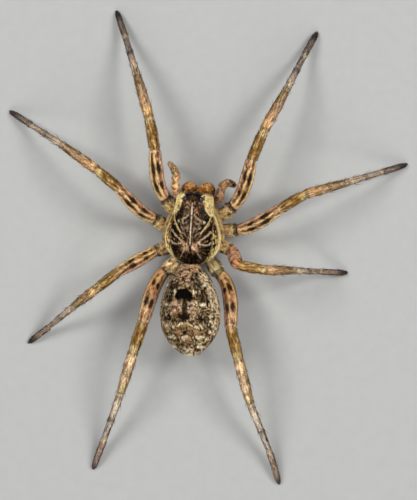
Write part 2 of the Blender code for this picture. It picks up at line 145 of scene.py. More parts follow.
def unit(vectors: np.ndarray) -> np.ndarray:
    """Rows of an array at length one."""
    return vectors / np.maximum(np.linalg.norm(vectors, axis=-1, keepdims=True), 1e-12)


def fade(distance: np.ndarray, edge: float, soft: float) -> np.ndarray:
    """One well inside an edge and nought outside it, with a soft step between."""
    t = np.clip((edge + soft - distance) / (2 * soft), 0.0, 1.0)
    return t * t * (3 - 2 * t)


def band(value: np.ndarray, centre: float, half: float, soft: float) -> np.ndarray:
    """One near a centre and nought away from it, with soft steps at a half width."""
    return fade(np.abs(value - centre), half, soft)


def spot(x: np.ndarray, y: np.ndarray, centre: tuple, size: tuple, soft: float = 0.3) -> np.ndarray:
    """Oval mark of given half sizes, its edge softened by a share of its size."""
    reach = np.hypot((x - centre[0]) / size[0], (y - centre[1]) / size[1])
    return fade(reach, 1.0, soft)


def stroke(x: np.ndarray, y: np.ndarray, start: tuple, end: tuple, half: float,
           soft: float = 0.04) -> np.ndarray:
    """Straight mark between two points, tapered towards both.

    Args:
        x: Places across.
        y: Places lengthwise.
        start: First end of the mark.
        end: Second end of the mark.
        half: Half width in the middle.
        soft: How far the edge fades.

    Returns:
        One value for each place, from nought to one.
    """
    ax, ay = end[0] - start[0], end[1] - start[1]
    length = ax * ax + ay * ay
    t = np.clip(((x - start[0]) * ax + (y - start[1]) * ay) / length, 0.0, 1.0)
    away = np.hypot(x - start[0] - t * ax, y - start[1] - t * ay)
    width = half * (0.45 + 0.55 * np.sin(math.pi * np.clip(t, 0.02, 0.98)) ** 0.6)
    return np.clip((width + soft - away) / (2 * soft), 0.0, 1.0)


def mottle(points: np.ndarray, grain: float, seed: int) -> np.ndarray:
    """Smooth random pattern in space, from nought to one.

    Args:
        points: Positions in metres.
        grain: Size of a patch in millimetres.
        seed: Picks one of many such patterns.

    Returns:
        One value for each position.
    """
    cell = points / (grain * MM) + 1000.0
    base = np.floor(cell).astype(np.int64)
    part = cell - base
    part = part * part * (3 - 2 * part)
    total = np.zeros(len(points))
    for corner in range(8):
        step = np.array([corner & 1, (corner >> 1) & 1, (corner >> 2) & 1])
        key = base + step
        code = key[:, 0] * 73856093 ^ key[:, 1] * 19349663 ^ key[:, 2] * 83492791 ^ seed * 2654435
        code = (code ^ (code >> 13)) * 1274126177
        value = ((code ^ (code >> 16)) & 0xFFFF) / 65535.0
        weight = np.prod(np.where(step, part, 1 - part), axis=1)
        total += value * weight
    return total


def paint(base: np.ndarray, colour: np.ndarray, mask: np.ndarray) -> np.ndarray:
    """Base colour with another laid over it where the mask says."""
    mask = np.clip(mask, 0.0, 1.0)[:, None]
    return base * (1 - mask) + colour * mask


def speckle(points: np.ndarray, grain: float, seed: int, share: float, soft: float = 0.05) -> np.ndarray:
    """Spots of a given grain that cover about a given share of the surface."""
    level = 0.5 + (0.5 - share) * 0.62
    return np.clip((mottle(points, grain, seed) - level + soft) / (2 * soft), 0.0, 1.0)


def ribbon(x: np.ndarray, y: np.ndarray, corners: tuple, half: float, soft: float = 0.035) -> np.ndarray:
    """Mark of even width along a line of corners.

    Args:
        x: Places across.
        y: Places lengthwise.
        corners: Corners of the line.
        half: Half width of the mark.
        soft: How far the edge fades.

    Returns:
        One value for each place, from nought to one.
    """
    away = np.full(len(x), 1e9)
    for start, end in zip(corners, corners[1:]):
        ax, ay = end[0] - start[0], end[1] - start[1]
        t = np.clip(((x - start[0]) * ax + (y - start[1]) * ay) / (ax * ax + ay * ay), 0.0, 1.0)
        away = np.minimum(away, np.hypot(x - start[0] - t * ax, y - start[1] - t * ay))
    return np.clip((half + soft - away) / (2 * soft), 0.0, 1.0)


def ground(colour: np.ndarray, points: np.ndarray) -> np.ndarray:
    """One colour for every point, on which markings are painted."""
    return np.tile(colour, (len(points), 1))


class Markings:
    """Colours of many points, painted layer by layer on a ground."""

    def __init__(self, colour: np.ndarray, points: np.ndarray) -> None:
        """Keep the points and lay the ground."""
        self.points = points
        self.tone = ground(colour, points)

    def lay(self, colour: np.ndarray, mask: np.ndarray) -> None:
        """Lay a colour over the others where the mask says."""
        self.tone = paint(self.tone, colour, mask)

    def specks(self, grain: float, seed: int, share: float, soft: float = 0.05) -> np.ndarray:
        """Spots of a given grain that cover about a given share of the surface."""
        return speckle(self.points, grain, seed, share, soft)


@dataclass(frozen=True)
class Speckled:
    """Pattern of one ground colour under layers of specks."""

    base: np.ndarray
    layers: tuple = ()

    def __call__(self, along: np.ndarray, angle: np.ndarray, points: np.ndarray) -> np.ndarray:
        """Colours of the pattern.

        Args:
            along: Shares along the form.
            angle: Angles round it.
            points: Positions in metres.

        Returns:
            One linear colour for each point.
        """
        look = Markings(self.base, points)
        for colour, strength, *specks in self.layers:
            look.lay(colour, strength * look.specks(*specks))
        return look.tone


def local_of(points: np.ndarray, place: Matrix) -> np.ndarray:
    """Positions in millimetres on a part's own axes, of world positions in metres."""
    inverse = np.array(place.inverted())
    return (points @ inverse[:3, :3].T + inverse[:3, 3]) / MM


def new_piece(name: str, mesh: bpy.types.Mesh) -> bpy.types.Object:
    """Smooth object of a mesh, placed in the scene.

    Args:
        name: Name of the piece.
        mesh: Its finished mesh.

    Returns:
        The new object.
    """
    mesh.shade_smooth()
    piece = bpy.data.objects.new(name, mesh)
    bpy.context.scene.collection.objects.link(piece)
    return piece


def mesh_of(name: str, bm: bmesh.types.BMesh) -> bpy.types.Mesh:
    """Mesh of a bmesh, which is freed.

    Args:
        name: Name of the mesh.
        bm: Shape to keep.

    Returns:
        The new mesh.
    """
    mesh = bpy.data.meshes.new(name)
    bm.to_mesh(mesh)
    bm.free()
    return mesh


class Form:
    """Closed smooth shape, read by its share from end to end and its angle round."""

    def point(self, along: np.ndarray, angle: np.ndarray) -> np.ndarray:
        """Positions on the surface; angle is nought at one side and a quarter turn on top."""
        raise NotImplementedError

    def axes(self, along: np.ndarray, angle: np.ndarray) -> tuple:
        """Positions, outward directions and directions along the form.

        Args:
            along: Shares of the way from end to end.
            angle: Angles round the form.

        Returns:
            Arrays of points, normals and lengthwise directions.
        """
        step = 0.002
        low = np.clip(along - step, 0.002, 0.996)
        here = self.point(along, angle)
        onward = unit(self.point(low + 2 * step, angle) - self.point(low, angle))
        around = unit(self.point(along, angle + 0.02) - self.point(along, angle - 0.02))
        normal = unit(np.cross(onward, around))
        return here, normal, onward

    def skin(self, name: str, rings: int, around: int, colour_of: Pattern) -> bpy.types.Object:
        """Mesh of the form, from a ball whose points are moved onto it.

        Args:
            name: Name of the piece.
            rings: Rings from end to end.
            around: Points in a ring.
            colour_of: Gives linear colours for shares, angles and positions.

        Returns:
            The piece, smooth, with its colours in an attribute.
        """
        bm = bmesh.new()
        bmesh.ops.create_uvsphere(bm, u_segments=around, v_segments=rings, radius=1.0)
        mesh = mesh_of(name, bm)
        ball = np.empty(len(mesh.vertices) * 3, np.float32)
        mesh.vertices.foreach_get("co", ball)
        ball = ball.reshape(-1, 3).astype(float)
        along = np.arccos(np.clip(ball[:, 2], -1.0, 1.0)) / math.pi
        angle = np.arctan2(ball[:, 1], ball[:, 0])
        points = self.point(along, angle)
        mesh.vertices.foreach_set("co", points.astype(np.float32).ravel())
        tint = mesh.attributes.new(TINT, "FLOAT_COLOR", "POINT")
        rgba = np.ones((len(points), 4), np.float32)
        rgba[:, :3] = colour_of(along, angle, points)
        tint.data.foreach_set("color", rgba.ravel())
        mesh.update()
        return new_piece(name, mesh)


@dataclass
class BodyForm(Form):
    """Body part with a section at each station from front to rear."""

    stations: tuple
    place: Matrix
    boxiness: tuple
    inset: float = 0.0
    relief: Relief | None = None
    cap: float = 0.05

    def __post_init__(self) -> None:
        """Sort the stations and note the ends."""
        rising = sorted(self.stations)
        self.curves = [tuple((row[0], row[column]) for row in rising) for column in (1, 2, 3)]
        self.rear = rising[0][0] + self.inset
        self.front = rising[-1][0] - self.inset
        self.matrix = np.array(self.place)

    def local(self, along: np.ndarray, angle: np.ndarray) -> np.ndarray:
        """Positions in millimetres on the part's own axes.

        Args:
            along: Shares of the way from front to rear.
            angle: Angles round the part.

        Returns:
            One position for each share and angle, without the relief.
        """
        middle = (self.front + self.rear) / 2
        half = (self.front - self.rear) / 2
        share = np.clip((along - self.cap) / (1 - 2 * self.cap), 0.0, 1.0)
        run = middle + half * np.cos(math.pi * share)
        filled = np.clip(np.minimum(along, 1 - along) / self.cap, 0.0, 1.0)
        width, height, depth = [smooth_curve(curve, run) for curve in self.curves]
        tall = np.maximum(height + depth, 0.05)
        shrink = np.clip(self.inset / (tall / 2), 0.0, 0.9)
        width = width * (1 - np.clip(self.inset / np.maximum(width, 0.05), 0.0, 0.9))
        centre = (height - depth) / 2
        height = centre + (height - centre) * (1 - shrink)
        depth = -centre + (depth + centre) * (1 - shrink)
        power = np.interp(run, [pair[0] for pair in self.boxiness], [pair[1] for pair in self.boxiness])
        side = signed_power(-np.cos(angle), power)
        rise = signed_power(np.sin(angle), power)
        x = filled * width * side
        z = centre + filled * (np.where(rise > 0, height, depth) * rise - centre)
        return np.stack([x, run, z], axis=1)

    def to_world(self, local: np.ndarray) -> np.ndarray:
        """World positions in metres of local positions in millimetres."""
        return (local * MM) @ self.matrix[:3, :3].T + self.matrix[:3, 3]

    def point(self, along: np.ndarray, angle: np.ndarray) -> np.ndarray:
        """World positions on the part's surface, relief included.

        Args:
            along: Shares of the way from front to rear.
            angle: Angles round the part.

        Returns:
            One position in metres for each share and angle.
        """
        local = self.local(along, angle)
        if self.relief is not None:
            local = self.relief(local)
        return self.to_world(local)


@dataclass
class LimbForm(Form):
    """Limb swept along a jointed line, its upper side kept on top."""

    joints: list
    radii: tuple
    room: float
    girth: float = 1.0
    inset: float = 0.0
    bow: float = 0.0
    sway: float = 0.0
    sway_bearing: float = 0.0
    sway_skew: float = 0.7
    bowed_segment: int = -1
    pinches: tuple = ()
    cap: float = 0.3
    upper: tuple = (0.0, 0.0, 1.0)

    def __post_init__(self) -> None:
        """Lay the path and work out its directions."""
        path = rounded_path(self.joints, self.room)
        self.places = np.array([place for point, place in path])
        points = np.array([tuple(point) for point, place in path])
        if self.bowed_segment >= 0:
            share = np.clip(self.places - self.bowed_segment, 0.0, 1.0)
            points[:, 2] += self.bow * np.sin(math.pi * share)
            bend = self.sway * np.sin(math.pi * share ** self.sway_skew)
            aside = math.radians(self.sway_bearing + 90.0)
            points[:, 0] += bend * math.cos(aside)
            points[:, 1] += bend * math.sin(aside)
        steps = np.linalg.norm(np.diff(points, axis=0), axis=1)
        self.distances = np.concatenate([[0.0], np.cumsum(steps)])
        self.length = self.distances[-1]
        self.points = points
        self.tangents = unit(np.gradient(points, self.distances, axis=0))

    def place_of(self, along: np.ndarray) -> np.ndarray:
        """Segment number plus share of its length."""
        return np.interp(along * self.length, self.distances, self.places)

    def along_of(self, place: float) -> float:
        """Share of the limb's length at a place."""
        return float(np.interp(place, self.places, self.distances) / self.length)

    def radius(self, along: np.ndarray) -> np.ndarray:
        """Radius of the skin, before the rounded ends.

        Args:
            along: Shares of the limb's length.

        Returns:
            One radius in metres for each share.
        """
        place = self.place_of(along)
        radius = smooth_curve(self.radii, place) * self.girth * MM - self.inset
        distance = along * self.length
        for joint, depth, width in self.pinches:
            away = distance - self.along_of(joint) * self.length
            radius = radius * (1 - depth * np.exp(-(away / (width * MM)) ** 2))
        return np.maximum(radius, 0.02 * MM)

    def frame_at(self, along: np.ndarray) -> tuple:
        """Centre line of the limb and the directions across it.

        Args:
            along: Shares of the limb's length.

        Returns:
            Arrays of centres, sideways directions and upward directions.
        """
        distance = along * self.length
        centre = np.stack([np.interp(distance, self.distances, self.points[:, k]) for k in range(3)], axis=1)
        tangent = unit(np.stack([np.interp(distance, self.distances, self.tangents[:, k])
                                 for k in range(3)], axis=1))
        side = unit(np.cross(tangent, np.array(self.upper)))
        upward = unit(np.cross(side, tangent))
        return centre, side, upward

    def point(self, along: np.ndarray, angle: np.ndarray) -> np.ndarray:
        """World positions on the limb's surface, resting on the floor where it would pass it.

        Args:
            along: Shares of the limb's length.
            angle: Angles round the limb.

        Returns:
            One position in metres for each share and angle.
        """
        centre, side, upward = self.frame_at(along)
        radius = self.radius(along)
        near = np.minimum(along, 1 - along) * self.length
        reach = np.maximum(self.cap * MM, 1e-6)
        inward = np.clip(1 - near / reach, 0.0, 1.0)
        radius = radius * np.sqrt(np.clip(1 - inward ** 2, 0.0, 1.0))
        across = side * (radius * np.cos(angle))[:, None]
        tall = upward * (radius * np.sin(angle))[:, None]
        points = centre + across + tall
        points[:, 2] = np.maximum(points[:, 2], SKIN_FLOOR)
        return points


def rounded_path(joints: list, room: float) -> list:
    """Points along a jointed line with rounded corners.

    Args:
        joints: Corners as vectors.
        room: How far from a corner its rounding starts.

    Returns:
        Pairs of point and place; a place is the segment number plus the share of its length.
    """
    bend_steps = 7
    straight_step = 0.25 * MM
    lengths = [(b - a).length for a, b in zip(joints, joints[1:])]
    path = [(joints[0], 0.0)]
    reached = 0.0
    for index in range(1, len(joints)):
        length = lengths[index - 1]
        last = index == len(joints) - 1
        trim = 0.0 if last else min(room, 0.42 * length, 0.42 * lengths[index])
        straight = length - trim - reached
        steps = max(1, round(straight / straight_step))
        along = (joints[index] - joints[index - 1]) / length
        for step in range(1, steps + 1):
            distance = reached + straight * step / steps
            path.append((joints[index - 1] + along * distance, index - 1 + distance / length))
        if last:
            break
        corner = joints[index]
        before = corner - along * trim
        after = corner + (joints[index + 1] - corner) / lengths[index] * trim
        for step in range(1, 2 * bend_steps + 1):
            t = step / (2 * bend_steps)
            point = (1 - t) ** 2 * before + 2 * t * (1 - t) * corner + t ** 2 * after
            share = trim / length * (1 - 2 * t) if t <= 0.5 else -trim / lengths[index] * (2 * t - 1)
            path.append((point, index - share))
        reached = trim
    return path


# A tuft is a bent, tapered three-sided spike: three corners at the root, three half way and the tip
TUFT_FACES = ((0, 1, 4, 3), (1, 2, 5, 4), (2, 0, 3, 5), (3, 4, 6), (4, 5, 6), (5, 3, 6), (2, 1, 0))
TUFT_PATCH = ((-1, -1), (1, -1), (0, -0.8), (-0.7, 0), (0.7, 0), (0, 0.4), (0, 1))
TUFT_SHADES = (0.80, 0.80, 0.85, 1.0, 1.0, 1.05, 1.15)
SPINE_SHADES = (0.9,) * 7
BAKE_HALF = 0.0015


@dataclass
class Coat:
    """Short hair over a form: tapered, bent tufts that lie along it.

    Each hair of the animal is 0.01 to 0.02 mm thick, too fine to show in the render, so a tuft of
    0.03 to 0.05 mm stands for a few of them.
    """

    count: int
    length: float
    width: float
    lift: tuple = (0.55, 0.12)
    spread: float = 0.35
    contrast: float = 0.30
    weight: Pattern | None = None
    length_at: Pattern | None = None
    grid: tuple = (160, 56)
    seed: int = 1

    def roots(self, form: Form, rng: np.random.Generator) -> tuple:
        """Places of the roots, evenly over the surface or as the weight says.

        Args:
            form: Skin that the hair grows on.
            rng: Source of the random draws.

        Returns:
            Arrays of shares and of angles.
        """
        rows, columns = self.grid
        along = (np.arange(rows) + 0.5) / rows
        angle = (np.arange(columns) + 0.5) / columns * 2 * math.pi - math.pi
        u, a = [part.ravel() for part in np.meshgrid(along, angle, indexing="ij")]
        du, da = 0.5 / rows, math.pi / columns
        edge_u = form.point(u + du, a) - form.point(u - du, a)
        edge_a = form.point(u, a + da) - form.point(u, a - da)
        area = np.linalg.norm(np.cross(edge_u, edge_a), axis=1)
        if self.weight is not None:
            area = area * self.weight(u, a, form.point(u, a))
        chance = np.cumsum(area) / area.sum()
        cell = np.searchsorted(chance, rng.random(self.count))
        cell = np.minimum(cell, len(u) - 1)
        u = u[cell] + (rng.random(self.count) * 2 - 1) * du
        a = a[cell] + (rng.random(self.count) * 2 - 1) * da
        return np.clip(u, 0.004, 0.996), a

    def grow(self, name: str, form: Form, colour_of: Pattern) -> bpy.types.Object:
        """Grow the coat as one mesh.

        Args:
            name: Name of the piece.
            form: Skin that the hair grows on.
            colour_of: Gives linear colours for shares, angles and positions.

        Returns:
            The coat, with colours and a bake map.
        """
        rng = np.random.default_rng(self.seed)
        u, a = self.roots(form, rng)
        root, normal, onward = form.axes(u, a)
        colour = colour_of(u, a, root) * np.exp(rng.normal(0.0, self.contrast, self.count))[:, None]
        sideways = unit(np.cross(normal, onward))
        count = self.count
        sway = rng.normal(0.0, self.spread, count)[:, None]
        lie = unit(onward + sideways * sway)
        across = unit(np.cross(normal, lie))
        length = self.length * MM * rng.uniform(0.65, 1.25, count)
        if self.length_at is not None:
            length = length * self.length_at(u, a, root)
        length = length[:, None]
        lifts = [lift * rng.uniform(0.6, 1.4, count)[:, None] for lift in self.lift]
        middle = root + length * 0.5 * (lie * np.cos(lifts[0]) + normal * np.sin(lifts[0]))
        tip = middle + length * 0.5 * (lie * np.cos(lifts[1]) + normal * np.sin(lifts[1]))
        half = (self.width * MM * rng.uniform(0.7, 1.3, count) / 2)[:, None]
        root = root - normal * 0.02 * MM
        corners = [
            root - across * half, root + across * half, root + normal * half * 0.7,
            middle - across * half * 0.8, middle + across * half * 0.8, middle + normal * half * 0.6,
            tip,
        ]
        return tuft_mesh(name, corners, TUFT_SHADES, colour, u, a)


def tuft_mesh(name: str, corners: list, shades: tuple, colour: np.ndarray, along: np.ndarray,
              angle: np.ndarray) -> bpy.types.Object:
    """One mesh of many like tufts.

    Args:
        name: Name of the piece.
        corners: Seven arrays of positions, one for each corner of a tuft.
        shades: How light each corner is.
        colour: Linear colour of each tuft.
        along: Share of each root along the skin, for the bake map.
        angle: Angle of each root round the skin, for the bake map.

    Returns:
        The joined piece.
    """
    count = len(colour)
    size = len(corners)
    points = np.stack(corners, axis=1).reshape(-1, 3)
    points[:, 2] = np.maximum(points[:, 2], HAIR_FLOOR)
    tint = (colour[:, None, :] * np.array(shades)[None, :, None]).reshape(-1, 3)
    order = np.concatenate([np.array(face) for face in TUFT_FACES])
    totals = np.array([len(face) for face in TUFT_FACES])
    offsets = np.arange(count)[:, None] * size
    loops = (offsets + order[None, :]).ravel()
    faces = np.tile(totals, count)
    starts = np.concatenate([[0], np.cumsum(faces)[:-1]])
    mesh = bpy.data.meshes.new(name)
    mesh.vertices.add(len(points))
    mesh.vertices.foreach_set("co", points.astype(np.float32).ravel())
    mesh.loops.add(len(loops))
    mesh.loops.foreach_set("vertex_index", loops.astype(np.int32))
    mesh.polygons.add(len(faces))
    mesh.polygons.foreach_set("loop_start", starts.astype(np.int32))
    mesh.update(calc_edges=True)
    rgba = np.ones((len(points), 4), np.float32)
    rgba[:, :3] = np.clip(tint, 0.0, 1.0)
    mesh.attributes.new(TINT, "FLOAT_COLOR", "POINT").data.foreach_set("color", rgba.ravel())
    roots = np.stack([angle / (2 * math.pi) + 0.5, along], axis=1)
    places = (roots[:, None, :] + np.array(TUFT_PATCH)[None, :, :] * BAKE_HALF).reshape(-1, 2)
    layer = mesh.uv_layers.new(name=BAKE_MAP)
    layer.data.foreach_set("uv", places[loops].astype(np.float32).ravel())
    return new_piece(name, mesh)


def add_node(tree: bpy.types.NodeTree, kind: str, links: dict | None = None,
             **settings: object) -> bpy.types.Node:
    """Add a node with its settings and links.

    Args:
        tree: Node tree of a material.
        kind: Blender's name of the node type.
        links: Input name or number to the output socket that feeds it.
        **settings: Node properties, or input values where the name is an input's.

    Returns:
        The new node.
    """
    node = tree.nodes.new(kind)
    for name, value in settings.items():
        if hasattr(node, name):
            setattr(node, name, value)
        else:
            node.inputs[name.replace("_", " ")].default_value = value
    for socket, source in (links or {}).items():
        tree.links.new(source, node.inputs[socket])
    return node


def new_material(name: str) -> tuple:
    """Empty material that reads Object coordinates.

    Args:
        name: Name of the material.

    Returns:
        The material, its tree, its shader and the output with the coordinates.
    """
    material = bpy.data.materials.new(name)
    material.use_nodes = True
    tree = material.node_tree
    shader = tree.nodes["Principled BSDF"]
    coordinates = tree.nodes.new("ShaderNodeTexCoord")
    return material, tree, shader, coordinates.outputs["Object"]


def tinted(tree: bpy.types.NodeTree, shader: bpy.types.Node, noise: bpy.types.Node,
           variation: float) -> None:
    """Feed a shader the painted markings, made lighter and darker by a noise.

    Args:
        tree: Node tree of the material.
        shader: Its shader.
        noise: Noise node that varies the colour.
        variation: Share by which the noise lightens and darkens at most.
    """
    tint = add_node(tree, "ShaderNodeAttribute", attribute_name=TINT)
    level = add_node(tree, "ShaderNodeMapRange", {"Value": noise.outputs["Fac"]}, From_Min=0.3,
                     From_Max=0.7, To_Min=1 - variation, To_Max=1 + variation)
    mixed = add_node(tree, "ShaderNodeVectorMath", {0: tint.outputs["Color"], 1: level.outputs["Result"]},
                     operation="MULTIPLY")
    tree.links.new(mixed.outputs["Vector"], shader.inputs["Base Color"])


def clouded(tree: bpy.types.NodeTree, shader: bpy.types.Node, noise: bpy.types.Node,
            codes: tuple) -> bpy.types.Node:
    """Feed a shader a noise between two colours.

    Args:
        tree: Node tree of the material.
        shader: Its shader.
        noise: Noise node that mixes the colours.
        codes: The darker and the lighter colour, as hex values.

    Returns:
        The ramp, whose ends the caller may move.
    """
    ramp = add_node(tree, "ShaderNodeValToRGB", {"Fac": noise.outputs["Fac"]})
    for stop, code in zip(ramp.color_ramp.elements, codes):
        stop.color = (*linear(code), 1.0)
    tree.links.new(ramp.outputs["Color"], shader.inputs["Base Color"])
    return ramp


@dataclass(frozen=True)
class Cuticle:
    """Horny skin, grown and hardened in plates: the painted markings, fine grain, a dull to waxy gloss.

    The real grain is about 0.01 mm, too fine to show, so it is drawn at 0.06 mm.
    """

    name: str
    roughness: float = 0.5
    grain_mm: float = 0.06
    grain_depth_mm: float = 0.012
    variation: float = 0.35
    coat: float = 0.0
    coat_roughness: float = 0.25
    specular: float = 0.07

    def build(self) -> bpy.types.Material:
        """Make the material.

        Returns:
            The finished material.
        """
        material, tree, shader, place = new_material(self.name)
        grain = add_node(tree, "ShaderNodeTexNoise", {"Vector": place}, Scale=1000.0 / self.grain_mm / 2,
                         Detail=4.0, Roughness=0.6)
        tinted(tree, shader, grain, self.variation)
        bump = add_node(tree, "ShaderNodeBump", {"Height": grain.outputs["Fac"]},
                        Distance=self.grain_depth_mm * MM, Strength=0.8)
        tree.links.new(bump.outputs["Normal"], shader.inputs["Normal"])
        shader.inputs["Roughness"].default_value = self.roughness
        shader.inputs["Specular IOR Level"].default_value = self.specular
        shader.inputs["Coat Weight"].default_value = self.coat
        shader.inputs["Coat Roughness"].default_value = self.coat_roughness
        return material


@dataclass(frozen=True)
class Hair:
    """Short stiff hair, grown from the skin: the painted markings, matt, uneven from strand to strand.

    The strands are 0.01 to 0.02 mm thick, too fine to show, so they vary over 0.12 mm.
    """

    name: str
    roughness: float = 0.55
    variation: float = 0.25
    strand_mm: float = 0.12
    specular: float = 0.05

    def build(self) -> bpy.types.Material:
        """Make the material.

        Returns:
            The finished material.
        """
        material, tree, shader, place = new_material(self.name)
        noise = add_node(tree, "ShaderNodeTexNoise", {"Vector": place}, Scale=1000.0 / self.strand_mm,
                         Detail=2.0)
        tinted(tree, shader, noise, self.variation)
        shader.inputs["Roughness"].default_value = self.roughness
        shader.inputs["Specular IOR Level"].default_value = self.specular
        return material


@dataclass(frozen=True)
class Gloss:
    """Hard surface, grown smooth: nearly one dark colour in soft clouds, with a clear shine."""

    name: str
    deep: str
    light: str
    roughness: float = 0.08
    coat: float = 0.35
    coat_roughness: float = 0.04
    cloud_mm: float = 0.4

    def build(self) -> bpy.types.Material:
        """Make the material.

        Returns:
            The finished material.
        """
        material, tree, shader, place = new_material(self.name)
        noise = add_node(tree, "ShaderNodeTexNoise", {"Vector": place}, Scale=1000.0 / self.cloud_mm,
                         Detail=3.0)
        ramp = clouded(tree, shader, noise, (self.deep, self.light))
        for stop, position in zip(ramp.color_ramp.elements, (0.4, 0.75)):
            stop.position = position
        shader.inputs["Roughness"].default_value = self.roughness
        shader.inputs["Coat Weight"].default_value = self.coat
        shader.inputs["Coat Roughness"].default_value = self.coat_roughness
        return material


@dataclass(frozen=True)
class CardFloor:
    """Pressed matt card under the model: even pale grey, its fibres a mottle too faint to draw the eye."""

    name: str = "matt_grey_card"
    dark: str = "#9d9d9b"
    light: str = "#a4a4a2"
    roughness: float = 0.85
    fibre_mm: float = 10.0 / 9.0

    def build(self) -> bpy.types.Material:
        """Make the material.

        Returns:
            The finished material.
        """
        material, tree, shader, place = new_material(self.name)
        noise = add_node(tree, "ShaderNodeTexNoise", {"Vector": place}, Scale=1000.0 / self.fibre_mm,
                         Detail=4.0)
        clouded(tree, shader, noise, (self.dark, self.light))
        shader.inputs["Roughness"].default_value = self.roughness
        return material


class Hue:
    """Colours of the animal, as linear values."""

    black = linear("#080503")
    dark = linear("#1e140a")
    brown = linear("#3d2a15")
    umber = linear("#24150a")
    cream = linear("#f3dfa6")
    white = linear("#fdf1d8")
    straw = linear("#e6cc8c")
    pink = linear("#cf9f7f")
    blush = linear("#e4ba96")
    russet = linear("#8a4f2c")
    orange = linear("#d4945a")
    tan = linear("#c29a64")
    sand = linear("#cdb48e")
    golden = linear("#967230")
    moss = linear("#6e5a20")
    olive = linear("#a68f4c")
    purple = linear("#60463a")
    grey = linear("#a58c7b")
    slate = linear("#30271f")
    grizzle = linear("#b08c5a")
    fawn = linear("#76552f")
    jaw = linear("#a86c2a")
    amber = linear("#e8ac52")
    belly = linear("#503720")
    rose = linear("#c08c70")
    petal = linear("#e4b79e")


class Maker:
    """Finishes that the pieces share, and the steps that finish every piece."""

    def __init__(self) -> None:
        """Build each material once."""
        # Thin chitin of legs and belly: dull, with no clear highlight
        self.skin = Cuticle("chitin_cuticle").build()
        # Thicker chitin of the carapace: a faint waxy sheen between the hairs
        self.shell = Cuticle("chitin_shell", roughness=0.42, coat=0.04).build()
        # Hardened chitin of the jaws: smooth, with a broad warm highlight
        self.jaw = Cuticle("sclerotised_chitin", roughness=0.36, coat=0.12, variation=0.22).build()
        # Chitin hair of legs, palps and jaws: matt strands with a soft gloss along them
        self.hair = Hair("chitin_hair").build()
        # Shorter chitin hair of the body: quite matt and more uneven in tone
        self.down = Hair("chitin_down", roughness=0.65, variation=0.30).build()
        # Clear lens over a dark eye: nearly black, with one small sharp highlight
        self.lens = Gloss("eye_lens", "#060505", "#1c130d", roughness=0.04).build()
        # Tanned chitin of fangs and claws: red-black and polished by wear
        self.horn = Gloss("tanned_chitin", "#0a0504", "#2a0f07", roughness=0.15).build()

    def finish(self, piece: bpy.types.Object, material: bpy.types.Material, slot: Slot,
               replaced: tuple = ()) -> bpy.types.Object:
        """Give a piece its material and its place in the model.

        Args:
            piece: Finished object.
            material: Its only material.
            slot: Slot of the record that it belongs to; not used.
            replaced: Nodes of the solids that it stands in for.

        Returns:
            The same object.
        """
        piece.data.materials.clear()
        piece.data.materials.append(material)
        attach(piece, BODY)
        if replaced:
            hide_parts(*replaced)
        LOG.info("%s: %d faces", piece.name, len(piece.data.polygons))
        return piece


